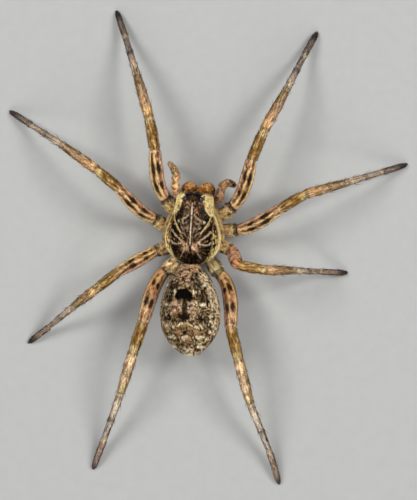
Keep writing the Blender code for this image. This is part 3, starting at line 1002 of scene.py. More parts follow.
@dataclass
class Prosoma:
    """Fore body: shell, eyes, sternum, waist, flanks, and jaws with their fangs."""

    maker: Maker
    centre: tuple = (-1.60, 0.95, 3.15)
    yaw: float = -3.5
    roll: float = -7.0
    pitch: float = 1.5
    coat_depth: float = 0.05
    shell_stations: tuple = (
        (4.85, 1.05, 1.20, -0.20), (4.78, 1.45, 1.55, -0.10), (4.60, 1.74, 1.86, 0.02),
        (4.25, 1.90, 2.10, 0.10), (3.55, 2.02, 2.32, 0.14), (2.50, 2.24, 2.44, 0.16),
        (1.45, 2.62, 2.52, 0.18), (0.75, 2.84, 2.54, 0.18), (0.00, 2.92, 2.46, 0.18),
        (-0.95, 2.74, 2.18, 0.18), (-1.65, 2.30, 1.66, 0.16), (-2.25, 1.60, 0.96, 0.12),
        (-2.55, 1.00, 0.50, 0.10),
    )
    sternum_place: tuple = (0.0, 0.45, -0.95)
    sternum_stations: tuple = (
        (2.55, 0.30, 0.30, 0.28), (2.20, 0.50, 0.42, 0.42), (1.75, 0.70, 0.50, 0.50),
        (1.35, 1.20, 0.52, 0.55), (0.60, 1.46, 0.52, 0.60), (-0.40, 1.40, 0.52, 0.60),
        (-1.30, 0.98, 0.50, 0.52), (-1.90, 0.40, 0.36, 0.36),
    )
    eyes: dict = field(default_factory=dict)

    def __post_init__(self) -> None:
        """Set the fore body's axes and read the eyes' places from the frame."""
        turn = (Matrix.Rotation(math.radians(self.yaw), 4, "Z")
                @ Matrix.Rotation(math.radians(self.roll), 4, "Y")
                @ Matrix.Rotation(math.radians(self.pitch), 4, "X"))
        self.place = Matrix.Translation(Vector(self.centre) * MM) @ turn
        inverse = self.place.inverted()
        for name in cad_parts:
            if name.startswith("eye_"):
                low, high = [Vector(corner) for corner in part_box(name)]
                middle = inverse @ ((low + high) / 2) / MM
                self.eyes[name] = (np.array(middle), max(high - low) / 2 / MM)

    def shell_relief(self, local: np.ndarray) -> np.ndarray:
        """Add mounds under the eyes, grooves between head and thorax, and the pit on top.

        Args:
            local: Positions on the shell's own axes in millimetres.

        Returns:
            The positions with the relief.
        """
        local = local.copy()
        for centre, radius in self.eyes.values():
            way = centre - np.array([0.0, 2.6, 0.2])
            way = way / np.linalg.norm(way)
            away = np.linalg.norm(local - centre, axis=1)
            swell = 0.08 * radius * np.exp(-(away / (1.45 * radius)) ** 4)
            local += way[None, :] * swell[:, None]
        x, y = np.abs(local[:, 0]), local[:, 1]
        upper = np.clip(local[:, 2] / 0.8, 0.0, 1.0)
        groove = 0.10 * stroke(x, y, (2.1, 2.9), (0.45, -0.35), 0.12, 0.14)
        for start, end in (((2.5, 1.2), (0.5, -0.5)), ((2.6, -0.2), (0.5, -0.8)), ((2.0, -1.5), (0.4, -1.1))):
            groove += 0.06 * stroke(x, y, start, end, 0.10, 0.16)
        groove += 0.16 * spot(x, y, (0.0, -0.95), (0.13, 0.42), 0.5)
        local[:, 2] -= groove * upper
        return local

    def shell_colour(self, along: np.ndarray, angle: np.ndarray, points: np.ndarray) -> np.ndarray:
        """Markings of the carapace: dark, with cream patches, a pale midline, rays and margin.

        Args:
            along: Shares along the shell.
            angle: Angles round it.
            points: Positions in metres.

        Returns:
            One linear colour for each point.
        """
        local = local_of(points, self.place)
        sx, x, y, z = local[:, 0], np.abs(local[:, 0]), local[:, 1], local[:, 2]
        look = Markings(Hue.dark, points)
        wave = (mottle(points, 0.45, 11) - 0.5) * 0.16
        broken = 0.45 + 0.55 * look.specks(0.16, 12, 0.72)
        share = x / np.maximum(x + self.edge_distance(x, y), 0.05)
        look.lay(Hue.fawn, 0.75 * look.specks(0.15, 13, 0.26))
        look.lay(Hue.purple, 0.70 * look.specks(0.24, 14, 0.42) * fade(x, 1.2, 0.3))
        look.lay(Hue.pink, 0.50 * look.specks(0.13, 22, 0.22) * fade(x, 1.0, 0.3) * (y < 4.0))
        look.lay(Hue.black, 0.9 * look.specks(0.15, 27, 0.30))
        look.lay(Hue.grizzle, 0.7 * look.specks(0.12, 15, 0.10))
        reach = np.hypot(x, y + 0.95)
        rays = np.cos(np.arctan2(x, y + 0.95 + wave) * 26.0)
        thorax = band(y, 0.2, 1.9, 0.5) * np.clip((reach - 0.9) / 0.4, 0.0, 1.0)
        look.lay(Hue.black, 0.85 * thorax * np.clip(rays * 1.6, 0.0, 1.0) * (share < 0.8))
        look.lay(Hue.black, 0.75 * thorax * (share < 0.8) * fade(1.45 - x, 0.0, 0.3))
        look.lay(Hue.tan, 0.9 * thorax * np.clip(-rays * 3 - 1.9, 0.0, 1.0)
                 * look.specks(0.16, 23, 0.50) * fade(1.35 - x, 0.0, 0.2))
        for centre, size in (((1.02, 3.0), (0.34, 0.46)), ((0.62, 4.25), (0.30, 0.36)),
                             ((1.2, 2.35), (0.3, 0.25)), ((0.45, 0.2), (0.16, 0.5)),
                             ((1.75, -1.0), (0.4, 0.35))):
            look.lay(Hue.black, 0.8 * spot(x + wave, y, centre, size, 0.35))
        rim_width = np.interp(y, (-2.5, -1.5, 0.3, 1.2, 1.9, 2.6), (0.20, 0.23, 0.25, 0.21, 0.11, 0.06))
        rim = fade(1 - share, rim_width, 0.03) * fade(y, 2.9, 0.3) * fade(-y, 2.5, 0.1)
        look.lay(Hue.straw, 0.95 * rim)
        golden = fade(-y, 1.2, 0.4) * fade(share, 0.945, 0.02)
        look.lay(Hue.orange, 0.6 * rim * look.specks(0.24, 17, 0.46) * golden)
        look.lay(Hue.umber, rim * look.specks(0.15, 16, 0.48) * fade(share, 0.925, 0.03)
                 * (0.5 + 0.5 * fade(-y, 1.0, 0.4)))
        look.lay(Hue.dark, rim * look.specks(0.14, 24, 0.50) * fade(share, 1.09 - rim_width, 0.04))
        look.lay(Hue.cream, 0.95 * rim * fade(1 - share, 0.050, 0.02))
        # Painted light: the margin made lighter on the left side; it is also lighter towards the rear.
        look.tone = look.tone * (1 + rim * (0.25 * (sx < 0) + 0.18 * fade(y, -0.8, 0.4)))[:, None]
        inner = np.interp(y, (2.3, 2.6, 3.0, 3.75, 4.35, 4.6), (1.95, 1.66, 1.32, 1.10, 0.86, 0.95))
        patch = np.clip((x + 0.6 * wave - inner) / 0.10, 0.0, 1.0) * band(y, 3.6, 1.12, 0.08)
        look.lay(Hue.cream, patch)
        inside = fade(np.abs(x - inner - 0.42), 0.30, 0.12) * band(y, 3.5, 0.85, 0.15)
        look.lay(Hue.olive, 0.6 * patch * inside * look.specks(0.20, 18, 0.50))
        look.lay(Hue.amber, 0.55 * patch * look.specks(0.22, 28, 0.50))
        look.lay(Hue.cream, 0.8 * patch * look.specks(0.14, 25, 0.30))
        look.lay(Hue.umber, 0.9 * patch * look.specks(0.15, 19, 0.34) * fade(x, inner + 0.34, 0.08))
        # Painted light: the pale patch made lighter on the left side.
        look.tone = look.tone * (1 + 0.22 * patch * (sx < 0))[:, None]
        look.lay(Hue.umber, 0.8 * ribbon(x, y, ((1.90, 4.4), (1.99, 3.5), (2.16, 2.6)), 0.03))
        line = ribbon(x, y, ((1.92, 2.66), (1.82, 2.02), (1.46, 1.34), (1.02, 0.64)), 0.042)
        look.lay(Hue.black, 0.7 * ribbon(x, y, ((1.72, 2.3), (1.36, 1.4), (1.0, 0.8)), 0.10, 0.08))
        look.lay(Hue.cream, line * (0.6 + 0.4 * broken))
        line = np.zeros(len(points))
        for strength, half, corners in (
                (0.85, 0.032, ((0.31, 2.56), (0.55, 2.26), (0.98, 2.0))),
                (0.35, 0.04, ((0.95, 1.98), (0.80, 1.60), (0.45, 1.75))),
                (0.35, 0.04, ((1.05, 1.30), (0.70, 1.05), (0.40, 1.25), (0.35, 0.85))),
                (0.35, 0.04, ((0.95, 0.75), (0.62, 0.55), (0.42, 0.30))),
                (0.9, 0.03, ((1.30, 1.94), (1.42, 1.84), (1.30, 1.70), (1.20, 1.83), (1.30, 1.94))),
                (1.0, 0.026, ((1.96, 0.92), (1.76, 0.55), (1.45, 0.26), (0.96, -0.08))),
                (1.0, 0.028, ((2.08, -0.22), (1.85, -0.42), (1.5, -0.50), (0.92, -0.42))),
                (0.9, 0.024, ((0.62, -1.02), (0.74, -1.36), (1.12, -1.92)))):
            line = np.maximum(line, strength * ribbon(x, y, corners, half))
        look.lay(Hue.white, line * (0.75 + 0.25 * broken))
        arms = ((0.92, -0.20), (0.55, -0.45), (0.22, -0.85), (0.42, -1.05), (0.72, -1.0))
        star = ribbon(x, y, arms, 0.10, 0.10)
        star = np.maximum(star, 0.8 * spot(x, y, (0.50, -0.62), (0.26, 0.26), 0.4))
        look.lay(Hue.blush, 0.9 * star * look.specks(0.15, 20, 0.70))
        look.lay(Hue.fawn, 0.9 * star * look.specks(0.15, 36, 0.30))
        look.lay(Hue.white, 0.7 * star * look.specks(0.13, 29, 0.26))
        middle = ribbon(sx, y, ((-0.01, 3.72), (0.02, 2.4), (0.01, 1.4), (0.0, -0.62)), 0.042)
        halo = ribbon(sx, y, ((-0.01, 3.9), (0.0, -0.5)), 0.16, 0.06)
        look.lay(Hue.dark, 0.6 * halo)
        look.lay(Hue.white, 0.95 * middle * broken)
        look.lay(Hue.black, 0.95 * spot(sx, y, (0.0, -0.95), (0.13, 0.42), 0.3))
        behind = fade(x, 0.82, 0.16) * fade(y, -1.42, 0.12)
        look.lay(Hue.black, 0.95 * behind * (1 - 0.8 * look.specks(0.15, 26, 0.26)))
        look.lay(Hue.black, 0.85 * fade(-y, -4.42, 0.12) * fade(x, 0.92, 0.12))
        look.lay(Hue.white, 0.95 * spot(x, y, (0.90, 4.36), (0.10, 0.16), 0.4))
        face = fade(-y, -4.55, 0.10) * fade(z, 1.55, 0.15)
        look.lay(Hue.fawn, face * (0.4 + 0.6 * look.specks(0.16, 30, 0.6)))
        look.lay(Hue.sand, 0.7 * face * look.specks(0.14, 35, 0.30))
        look.lay(Hue.umber, 0.9 * fade(-y, -4.66, 0.04) * fade(-z, -1.62, 0.1))
        for centre, radius in self.eyes.values():
            away = np.linalg.norm(local - centre, axis=1)
            look.lay(Hue.black, 0.9 * fade(away, radius * 1.35, 0.06))
        look.tone = look.tone * (1 - (1 - np.maximum(patch, rim))[:, None] * np.array((0.02, 0.09, 0.18)))
        look.lay(Hue.cream, 0.8 * ribbon(x, y, ((0.98, 4.60), (1.30, 4.60), (1.62, 4.44)), 0.05))
        look.lay(Hue.cream, 0.95 * fade(z, 0.02, 0.10) * fade(y, 3.9, 0.3) * fade(-y, 2.4, 0.1))
        return look.tone

    def edge_distance(self, x: np.ndarray, y: np.ndarray) -> np.ndarray:
        """How far inside the shell's outline a point lies, in millimetres."""
        rising = tuple((row[0], row[1]) for row in sorted(self.shell_stations))
        return smooth_curve(rising, y) - x

    def build_shell(self) -> None:
        """Carapace with its short hair."""
        boxiness = ((-2.6, 1.02), (0.5, 1.02), (3.0, 0.80), (4.9, 0.80))
        form = BodyForm(self.shell_stations, self.place, boxiness, self.coat_depth, self.shell_relief)
        skin = form.skin("carapace_skin", 190, 200, self.shell_colour)
        self.maker.finish(skin, self.maker.shell, Slot.CARAPACE, ("carapace",))

        def weight(along: np.ndarray, angle: np.ndarray, points: np.ndarray) -> np.ndarray:
            """More hair where the markings are pale, none on the eyes.

            Args:
                along: Shares along the shell.
                angle: Angles round it.
                points: Positions in metres.

            Returns:
                One weight for each point.
            """
            tone = self.shell_colour(along, angle, points).mean(axis=1)
            level = 0.45 + 2.2 * np.clip(tone, 0.0, 0.5)
            local = local_of(points, self.place)
            for centre, radius in self.eyes.values():
                level = level * (1 - fade(np.linalg.norm(local - centre, axis=1), radius * 1.25, 0.08))
            return level * (local[:, 2] > -0.05)

        coat = Coat(count=19200, length=0.16, width=0.045, lift=(0.35, 0.10), spread=0.5, weight=weight,
                    seed=21)
        hair = coat.grow("carapace_coat", form, self.shell_colour)
        self.maker.finish(hair, self.maker.down, Slot.CARAPACE)

    def build_eyes(self) -> None:
        """Eight glossy eyes on their mounds."""
        for name, (centre, radius) in self.eyes.items():
            bm = bmesh.new()
            bmesh.ops.create_uvsphere(bm, u_segments=28, v_segments=18, radius=radius * MM)
            bm.transform(Matrix.Translation(self.place @ (Vector(centre) * MM)))
            piece = new_piece(name + "_lens", mesh_of(name + "_lens", bm))
            self.maker.finish(piece, self.maker.lens, Slot.EYE, (name,))

    def build_sternum(self) -> None:
        """Plate between the leg bases, with its dark hair."""
        place = self.place @ Matrix.Translation(Vector(self.sternum_place) * MM)
        form = BodyForm(self.sternum_stations, place, ((-2.0, 0.85), (3.0, 0.85)), 0.05)

        def colour(along: np.ndarray, angle: np.ndarray, points: np.ndarray) -> np.ndarray:
            """Brown, darker in patches."""
            tone = ground(Hue.belly, points)
            return paint(tone, Hue.dark, 0.7 * fade(1 - mottle(points, 0.4, 31), 0.5, 0.2))

        skin = form.skin("sternum_skin", 60, 60, colour)
        self.maker.finish(skin, self.maker.skin, Slot.BELLY, ("sternum",))
        coat = Coat(count=2500, length=0.4, width=0.045, lift=(0.6, 0.2), seed=32)
        hair = coat.grow("sternum_coat", form, colour)
        self.maker.finish(hair, self.maker.down, Slot.BELLY)

    def build_waist(self) -> None:
        """Narrow waist behind the shell."""
        start, end = Vector((0.0, -1.85, -0.90)) * MM, Vector((0.0, -2.90, -0.72)) * MM
        joints = [self.place @ start.lerp(end, share) for share in (-0.25, 0.5, 1.25)]
        form = LimbForm(joints, ((0.0, 0.40), (1.0, 0.34), (2.0, 0.40)), 0.2 * MM)

        skin = form.skin("waist_skin", 40, 32, Speckled(Hue.umber))
        self.maker.finish(skin, self.maker.skin, Slot.BELLY, ("pedicel",))

    def build_flanks(self) -> None:
        """Soft dark skin under the shell's rim, between the leg bases."""
        stations = (
            (4.30, 1.20, 0.20, 0.55), (3.60, 1.95, 0.12, 0.95), (2.50, 2.62, 0.10, 1.20),
            (1.20, 3.10, 0.08, 1.30), (0.00, 3.22, 0.08, 1.30), (-1.00, 2.86, 0.08, 1.22),
            (-1.80, 1.95, 0.08, 1.00), (-2.30, 0.90, 0.10, 0.70),
        )
        form = BodyForm(stations, self.place, ((-2.5, 0.95), (5.0, 0.95)), 0.0)

        colour = Speckled(Hue.tan, ((Hue.grey, 0.7, 0.35, 33, 0.5, 0.2), (Hue.olive, 0.7, 0.20, 34, 0.5),
                                    (Hue.umber, 0.7, 0.16, 21, 0.24)))
        skin = form.skin("flank_skin", 70, 72, colour)
        self.maker.finish(skin, self.maker.skin, Slot.BELLY)
        coat = Coat(count=4200, length=0.26, width=0.045, lift=(0.4, 0.12), spread=0.6, seed=34)
        hair = coat.grow("flank_coat", form, colour)
        self.maker.finish(hair, self.maker.down, Slot.BELLY)

    def build_jaws(self) -> None:
        """Two chelicerae with their fangs."""
        line = ((4.90, -0.32, 0.34), (5.00, -0.44, 0.58), (5.05, -0.64, 0.74), (5.07, -0.96, 0.78),
                (5.05, -1.32, 0.74), (4.98, -1.68, 0.61), (4.91, -2.02, 0.42), (4.90, -2.24, 0.25))

        def colour(along: np.ndarray, angle: np.ndarray, points: np.ndarray) -> np.ndarray:
            """Golden brown with a painted amber highlight above, and darker below.

            Args:
                along: Shares along the jaw.
                angle: Angles round it.
                points: Positions in metres.

            Returns:
                One linear colour for each point.
            """
            look = Markings(Hue.jaw, points)
            # Painted highlight: orange and straw specks on the upper front of the jaw, with fewer brown
            # specks there.
            upper = fade(along, 0.5, 0.15)
            painted_highlight = upper * fade(np.abs(angle - math.pi / 2), 0.95, 0.5)
            look.lay(Hue.grizzle, 0.8 * look.specks(0.19, 40, 0.40))
            look.lay(Hue.orange, 0.90 * look.specks(0.17, 42, 0.55) * painted_highlight)
            look.lay(Hue.straw, 0.70 * look.specks(0.15, 44, 0.26) * painted_highlight)
            look.lay(Hue.brown, 0.9 * look.specks(0.18, 41, 0.36) * (1 - 0.6 * painted_highlight))
            look.lay(Hue.umber, 0.9 * fade(1 - along, 0.40, 0.25))
            return look.tone

        for side in Side:
            across = side.sign * 0.90 + 0.13
            joints = [self.place @ (Vector((across, y, z)) * MM) for y, z, _ in line]
            radii = tuple((index, row[2]) for index, row in enumerate(line))
            form = LimbForm(joints, radii, 0.2 * MM, inset=0.03 * MM, cap=0.42, upper=(0.0, 1.0, 0.0))
            skin = form.skin("chelicera_%s_skin" % side.value, 80, 56, colour)
            self.maker.finish(skin, self.maker.jaw, Slot.JAW, ("chelicera_" + side.value,))
            coat = Coat(count=5200, length=0.22, width=0.045, lift=(0.7, 0.35), contrast=0.36, seed=43)
            hair = coat.grow("chelicera_%s_coat" % side.value, form, colour)
            self.maker.finish(hair, self.maker.hair, Slot.JAW)
            self.build_fang(side, across)
        self.build_jaw_roots()

    def build_jaw_roots(self) -> None:
        """Soft hairy skin that joins both jaws to the face."""
        line = ((-0.85, 4.55, -0.22, 0.50), (-0.40, 4.70, -0.30, 0.52), (0.13, 4.76, -0.34, 0.54),
                (0.66, 4.70, -0.30, 0.52), (1.11, 4.55, -0.22, 0.50))
        joints = [self.place @ (Vector(row[:3]) * MM) for row in line]
        form = LimbForm(joints, tuple((index, row[3]) for index, row in enumerate(line)), 0.2 * MM, cap=0.45)

        colour = Speckled(Hue.fawn, ((Hue.jaw, 0.9, 0.18, 45, 0.55), (Hue.umber, 0.9, 0.16, 50, 0.34)))
        skin = form.skin("jaw_root_skin", 60, 40, colour)
        self.maker.finish(skin, self.maker.jaw, Slot.JAW)
        coat = Coat(count=2200, length=0.24, width=0.04, lift=(0.7, 0.35), contrast=0.36, seed=46)
        hair = coat.grow("jaw_root_coat", form, colour)
        self.maker.finish(hair, self.maker.hair, Slot.JAW)

    def build_fang(self, side: Side, across: float) -> None:
        """Curved fang, folded inwards under its jaw.

        Args:
            side: Side of the animal.
            across: Where the jaw's middle lies across the body, in millimetres.
        """
        joints = []
        radii = []
        steps = 7
        for step in range(steps):
            t = step / (steps - 1)
            x = across + side.sign * (0.30 - 0.92 * t)
            z = -2.38 - 0.22 * math.sin(math.pi * t)
            joints.append(self.place @ (Vector((x, 4.90, z)) * MM))
            radii.append((step, 0.25 + (0.05 - 0.25) * t ** 1.5))
        form = LimbForm(joints, tuple(radii), 0.1 * MM, cap=0.15)

        horn = form.skin("fang_%s_horn" % side.value, 40, 24, Speckled(Hue.black))
        self.maker.finish(horn, self.maker.horn, Slot.FANG, ("fang_" + side.value,))

    def build(self) -> None:
        """Build the whole fore body."""
        self.build_shell()
        self.build_eyes()
        self.build_sternum()
        self.build_waist()
        self.build_flanks()
        self.build_jaws()


@dataclass
class Abdomen:
    """Abdomen with its markings, coat and spinnerets."""

    maker: Maker
    centre: tuple = (-1.90, -6.36, 4.26)
    roll: float = -10.0
    pitch: float = 2.0
    coat_depth: float = 0.13
    stations: tuple = (
        (4.75, 0.70, 0.66, 0.10), (4.45, 1.16, 1.28, 0.42), (3.85, 1.76, 1.92, 0.90),
        (3.20, 2.24, 2.28, 1.28), (2.50, 2.56, 2.52, 1.60), (1.25, 2.98, 2.66, 2.15),
        (0.00, 3.20, 2.66, 2.45), (-1.15, 3.18, 2.56, 2.50), (-2.20, 2.94, 2.34, 2.36),
        (-3.05, 2.48, 2.04, 2.08), (-3.75, 1.92, 1.60, 1.68), (-4.40, 1.14, 1.00, 1.12),
        (-4.80, 0.48, 0.40, 0.48),
    )

    def __post_init__(self) -> None:
        """Set the abdomen's axes."""
        turn = (Matrix.Rotation(math.radians(self.roll), 4, "Y")
                @ Matrix.Rotation(math.radians(self.pitch), 4, "X"))
        self.place = Matrix.Translation(Vector(self.centre) * MM) @ turn

    def colour(self, along: np.ndarray, angle: np.ndarray, points: np.ndarray) -> np.ndarray:
        """Markings: heart spot, pale patches, chevrons and white tufts on a grizzled ground, with painted
        shade over the left side.

        Args:
            along: Shares along the abdomen.
            angle: Angles round it.
            points: Positions in metres.

        Returns:
            One linear colour for each point.
        """
        local = local_of(points, self.place)
        sx = local[:, 0] + 0.18
        x, y, z = np.abs(sx), local[:, 1], local[:, 2]
        wave = (mottle(points, 0.35, 54) - 0.5) * 0.5
        ripple = (mottle(points, 0.5, 56) - 0.5) * 0.5
        wx, wy = x + 0.6 * wave, y + 0.6 * ripple
        look = Markings(Hue.brown, points)
        look.lay(Hue.dark, 0.9 * look.specks(0.55, 53, 0.50, 0.12))
        zones = (((1.75, 1.35), (0.55, 0.55)), ((1.8, -0.75), (0.70, 0.28)), ((1.3, 2.6), (0.7, 0.5)),
                 ((0.0, -0.38), (0.62, 0.36)), ((1.15, -0.9), (0.5, 0.2)))
        shade = np.zeros(len(points))
        for centre, size in zones:
            shade = np.maximum(shade, spot(wx, wy, centre, size, 0.4))
        light = 1 - 0.7 * shade
        look.lay(Hue.grizzle, 0.9 * light * look.specks(0.14, 51, 0.46))
        look.lay(Hue.sand, 0.85 * light * look.specks(0.13, 57, 0.24))
        look.lay(Hue.black, 0.95 * look.specks(0.15, 52, 0.41))
        look.lay(Hue.white, 0.85 * light * look.specks(0.13, 33, 0.09))
        front = fade(-y, -2.9, 0.5)
        look.lay(Hue.petal, 0.80 * front * look.specks(0.15, 58, 0.36) * fade(x, 1.1, 0.35))
        look.lay(Hue.blush, 0.7 * fade(-y, -4.0, 0.3) * look.specks(0.14, 59, 0.45))
        look.lay(Hue.dark, 0.95 * front * look.specks(0.17, 69, 0.40) * fade(y, 4.3, 0.2))
        flank = fade(z, 1.55, 0.25) * fade(-z, 0.4, 0.5) * fade(y, 3.9, 0.3)
        look.lay(Hue.dark, 0.85 * flank * look.specks(0.15, 43, 0.36))
        edge = band(z, 1.1, 0.7, 0.3)
        look.lay(Hue.blush, 0.85 * flank * (0.45 + 0.55 * (sx > 0)) * look.specks(0.17, 55, 0.36))
        look.lay(Hue.white, 0.9 * flank * edge * (0.4 + 0.6 * (sx > 0)) * look.specks(0.17, 37, 0.40))
        look.lay(Hue.belly, 0.75 * fade(z, -0.8, 0.6) * look.specks(0.22, 60, 0.6))
        rear = fade(y, -1.35, 0.3)
        look.lay(Hue.grizzle, 0.8 * rear * look.specks(0.13, 46, 0.26))
        look.lay(Hue.dark, 0.9 * rear * look.specks(0.16, 38, 0.36))
        for centre, size in (((1.02, 0.30), (0.46, 0.74)), ((0.62, 0.62), (0.40, 0.50))):
            patch = spot(wx + 0.5 * ripple, wy + 0.5 * wave, centre, size, 0.5)
            look.lay(Hue.sand, 0.75 * patch * look.specks(0.15, 47, 0.50))
            look.lay(Hue.petal, 0.80 * patch * look.specks(0.17, 39, 0.50))
            look.lay(Hue.white, 0.70 * patch * look.specks(0.14, 82, 0.20))
            look.lay(Hue.dark, 0.9 * patch * look.specks(0.15, 32, 0.32))
        look.lay(Hue.russet, 0.55 * spot(wx, wy, (0.75, -0.25), (0.5, 0.35), 0.5)
                 * look.specks(0.2, 48, 0.5))
        look.lay(Hue.black, 0.9 * spot(wx, wy, (0.0, -0.56), (0.66, 0.38), 0.3)
                 * look.specks(0.2, 49, 0.8))
        look.lay(Hue.dark, 0.9 * spot(wx, wy, (0.0, 0.45), (0.36, 0.95), 0.35))
        arc = ribbon(x, y + 0.3 * ripple, ((0.0, -1.16), (0.38, -1.22), (0.80, -1.48)), 0.075, 0.05)
        look.lay(Hue.grizzle, 0.8 * spot(x, y, (0.0, -1.42), (0.75, 0.24), 0.4)
                 * look.specks(0.14, 31, 0.55))
        look.lay(Hue.sand, 0.9 * arc)
        look.lay(Hue.white, 0.9 * arc * look.specks(0.15, 64, 0.50))
        for centre, size, seed in (((0.95, -2.0), (0.48, 0.34), 65), ((0.0, -2.72), (0.62, 0.40), 66)):
            look.lay(Hue.pink, 0.6 * spot(wx, wy, centre, size, 0.4) * look.specks(0.17, seed, 0.5))
        look.lay(Hue.black, 0.9 * spot(x, wy, (0.0, -2.06), (0.24, 0.24), 0.4))
        look.lay(Hue.black, 0.7 * ribbon(x, wy, ((0.0, -2.25), (0.55, -2.45), (1.0, -2.4)), 0.05))
        look.lay(Hue.black, 0.85 * ribbon(x, wy, ((0.0, -3.58), (0.45, -3.66), (0.85, -3.52)), 0.05))
        for centre, size in (((0.0, -2.62), (0.30, 0.20)), ((0.0, -3.92), (0.42, 0.22)),
                             ((1.25, -2.62), (0.34, 0.24)), ((1.85, -1.45), (0.34, 0.26))):
            look.lay(Hue.white, 0.75 * spot(wx, wy, centre, size, 0.4)
                     * look.specks(0.16, 67, 0.56))
        look.lay(Hue.white, 0.75 * fade(y, -4.35, 0.15) * look.specks(0.15, 68, 0.6))
        dome = np.interp(y + 0.15 * ripple, (1.25, 1.45, 1.65, 2.0, 2.30, 2.40),
                         (0.55, 0.95, 0.93, 0.74, 0.48, 0.25))
        heart = (fade(np.abs(sx + 0.04 + 0.2 * wave), dome, 0.05)
                 * fade(np.abs(y - 1.84 + 0.2 * ripple), 0.55, 0.06))
        look.lay(Hue.black, heart)
        look.lay(Hue.black, 0.85 * spot(wx, wy, (0.62, 1.26), (0.20, 0.18), 0.4))
        for centre, size in (((0.95, 2.02), (0.085, 0.26)), ((1.95, 0.70), (0.22, 0.12)),
                             ((1.92, 2.65), (0.13, 0.16)), ((1.22, -1.58), (0.17, 0.13)),
                             ((1.45, -3.69), (0.36, 0.15)), ((1.65, -2.66), (0.30, 0.10)),
                             ((1.2, 0.95), (0.10, 0.09))):
            look.lay(Hue.white, 0.95 * spot(x + 0.25 * wave, y + 0.25 * ripple, centre, size, 0.4))
        # Warmed in tone, with painted shade darkening the left side.
        return look.tone * np.array((1.02, 0.97, 0.86)) * (0.98 - 0.16 * fade(sx, -0.9, 0.4))[:, None]

    def build(self) -> None:
        """Skin, coat and spinnerets."""
        form = BodyForm(self.stations, self.place, ((-5.0, 0.97), (5.0, 0.97)), self.coat_depth)
        skin = form.skin("abdomen_skin", 200, 190, self.colour)
        self.maker.finish(skin, self.maker.skin, Slot.ABDOMEN, ("abdomen",))

        def front(along: np.ndarray, angle: np.ndarray, points: np.ndarray) -> np.ndarray:
            """Front half, hair thinner below."""
            return (along < 0.5) * np.where(np.sin(angle) > -0.3, 1.0, 0.45)

        def rear(along: np.ndarray, angle: np.ndarray, points: np.ndarray) -> np.ndarray:
            """Rear half, hair thinner below."""
            return (along >= 0.5) * np.where(np.sin(angle) > -0.3, 1.0, 0.45)

        for label, weight, seed in (("front", front, 61), ("rear", rear, 62)):
            coat = Coat(count=20000, length=0.165, width=0.048, lift=(0.50, 0.15), spread=0.4,
                        contrast=0.32, weight=weight, seed=seed)
            hair = coat.grow("abdomen_%s_coat" % label, form, self.colour)
            self.maker.finish(hair, self.maker.down, Slot.ABDOMEN)
        self.build_spinnerets()

    def build_spinnerets(self) -> None:
        """Four visible spinnerets behind and below."""
        root = Vector((0.0, -3.62, -1.20))

        def colour(along: np.ndarray, angle: np.ndarray, points: np.ndarray) -> np.ndarray:
            """Brown, paler at the tips."""
            tone = ground(Hue.brown, points)
            return paint(tone, Hue.tan, 0.6 * fade(1 - along, 0.3, 0.2))

        for label, across, length, radius, drop in (("front", 0.42, 1.10, 0.27, -0.34),
                                                    ("rear", 0.34, 1.00, 0.22, -0.04)):
            for side in Side:
                start = root + Vector((side.sign * across, 0.0, drop))
                way = Vector((side.sign * math.tan(math.radians(12.0)), -1.0, -0.12)).normalized()
                shares = (0.0, 0.4, 0.85, 1.0)
                joints = [self.place @ ((start + way * length * share) * MM) for share in shares]
                radii = ((0, radius * 0.9), (1, radius), (2, radius * 0.7), (3, radius * 0.4))
                form = LimbForm(joints, radii, 0.1 * MM, inset=0.02 * MM, cap=0.12)
                skin = form.skin("spinneret_%s_%s_skin" % (label, side.value), 30, 24, colour)
                self.maker.finish(skin, self.maker.skin, Slot.ABDOMEN)
                coat = Coat(count=260, length=0.24, width=0.03, lift=(0.4, 0.1), seed=63)
                hair = coat.grow("spinneret_%s_%s_coat" % (label, side.value), form, colour)
                self.maker.finish(hair, self.maker.down, Slot.ABDOMEN)


PAIR_LENGTHS = {
    1: (3.26, 5.02, 4.85, 3.08),
    2: (2.90, 4.62, 4.64, 3.00),
    3: (2.80, 3.22, 4.12, 2.95),
    4: (3.10, 5.06, 5.78, 3.58),
}
PAIR_HEIGHTS = {
    1: (4.80, 4.60, 3.20, 1.10),
    2: (4.75, 4.50, 3.15, 1.10),
    3: (4.65, 4.30, 3.05, 1.05),
    4: (4.60, 4.35, 3.05, 1.10),
}
PAIR_GIRTH = {1: 1.00, 2: 0.95, 3: 0.92, 4: 1.03}
PAIR_BOW = {1: 0.22, 2: 0.22, 3: 0.20, 4: -0.06}
ROOT_ANGLES = {1: 52.0, 2: 20.0, 3: -16.0, 4: -52.0}


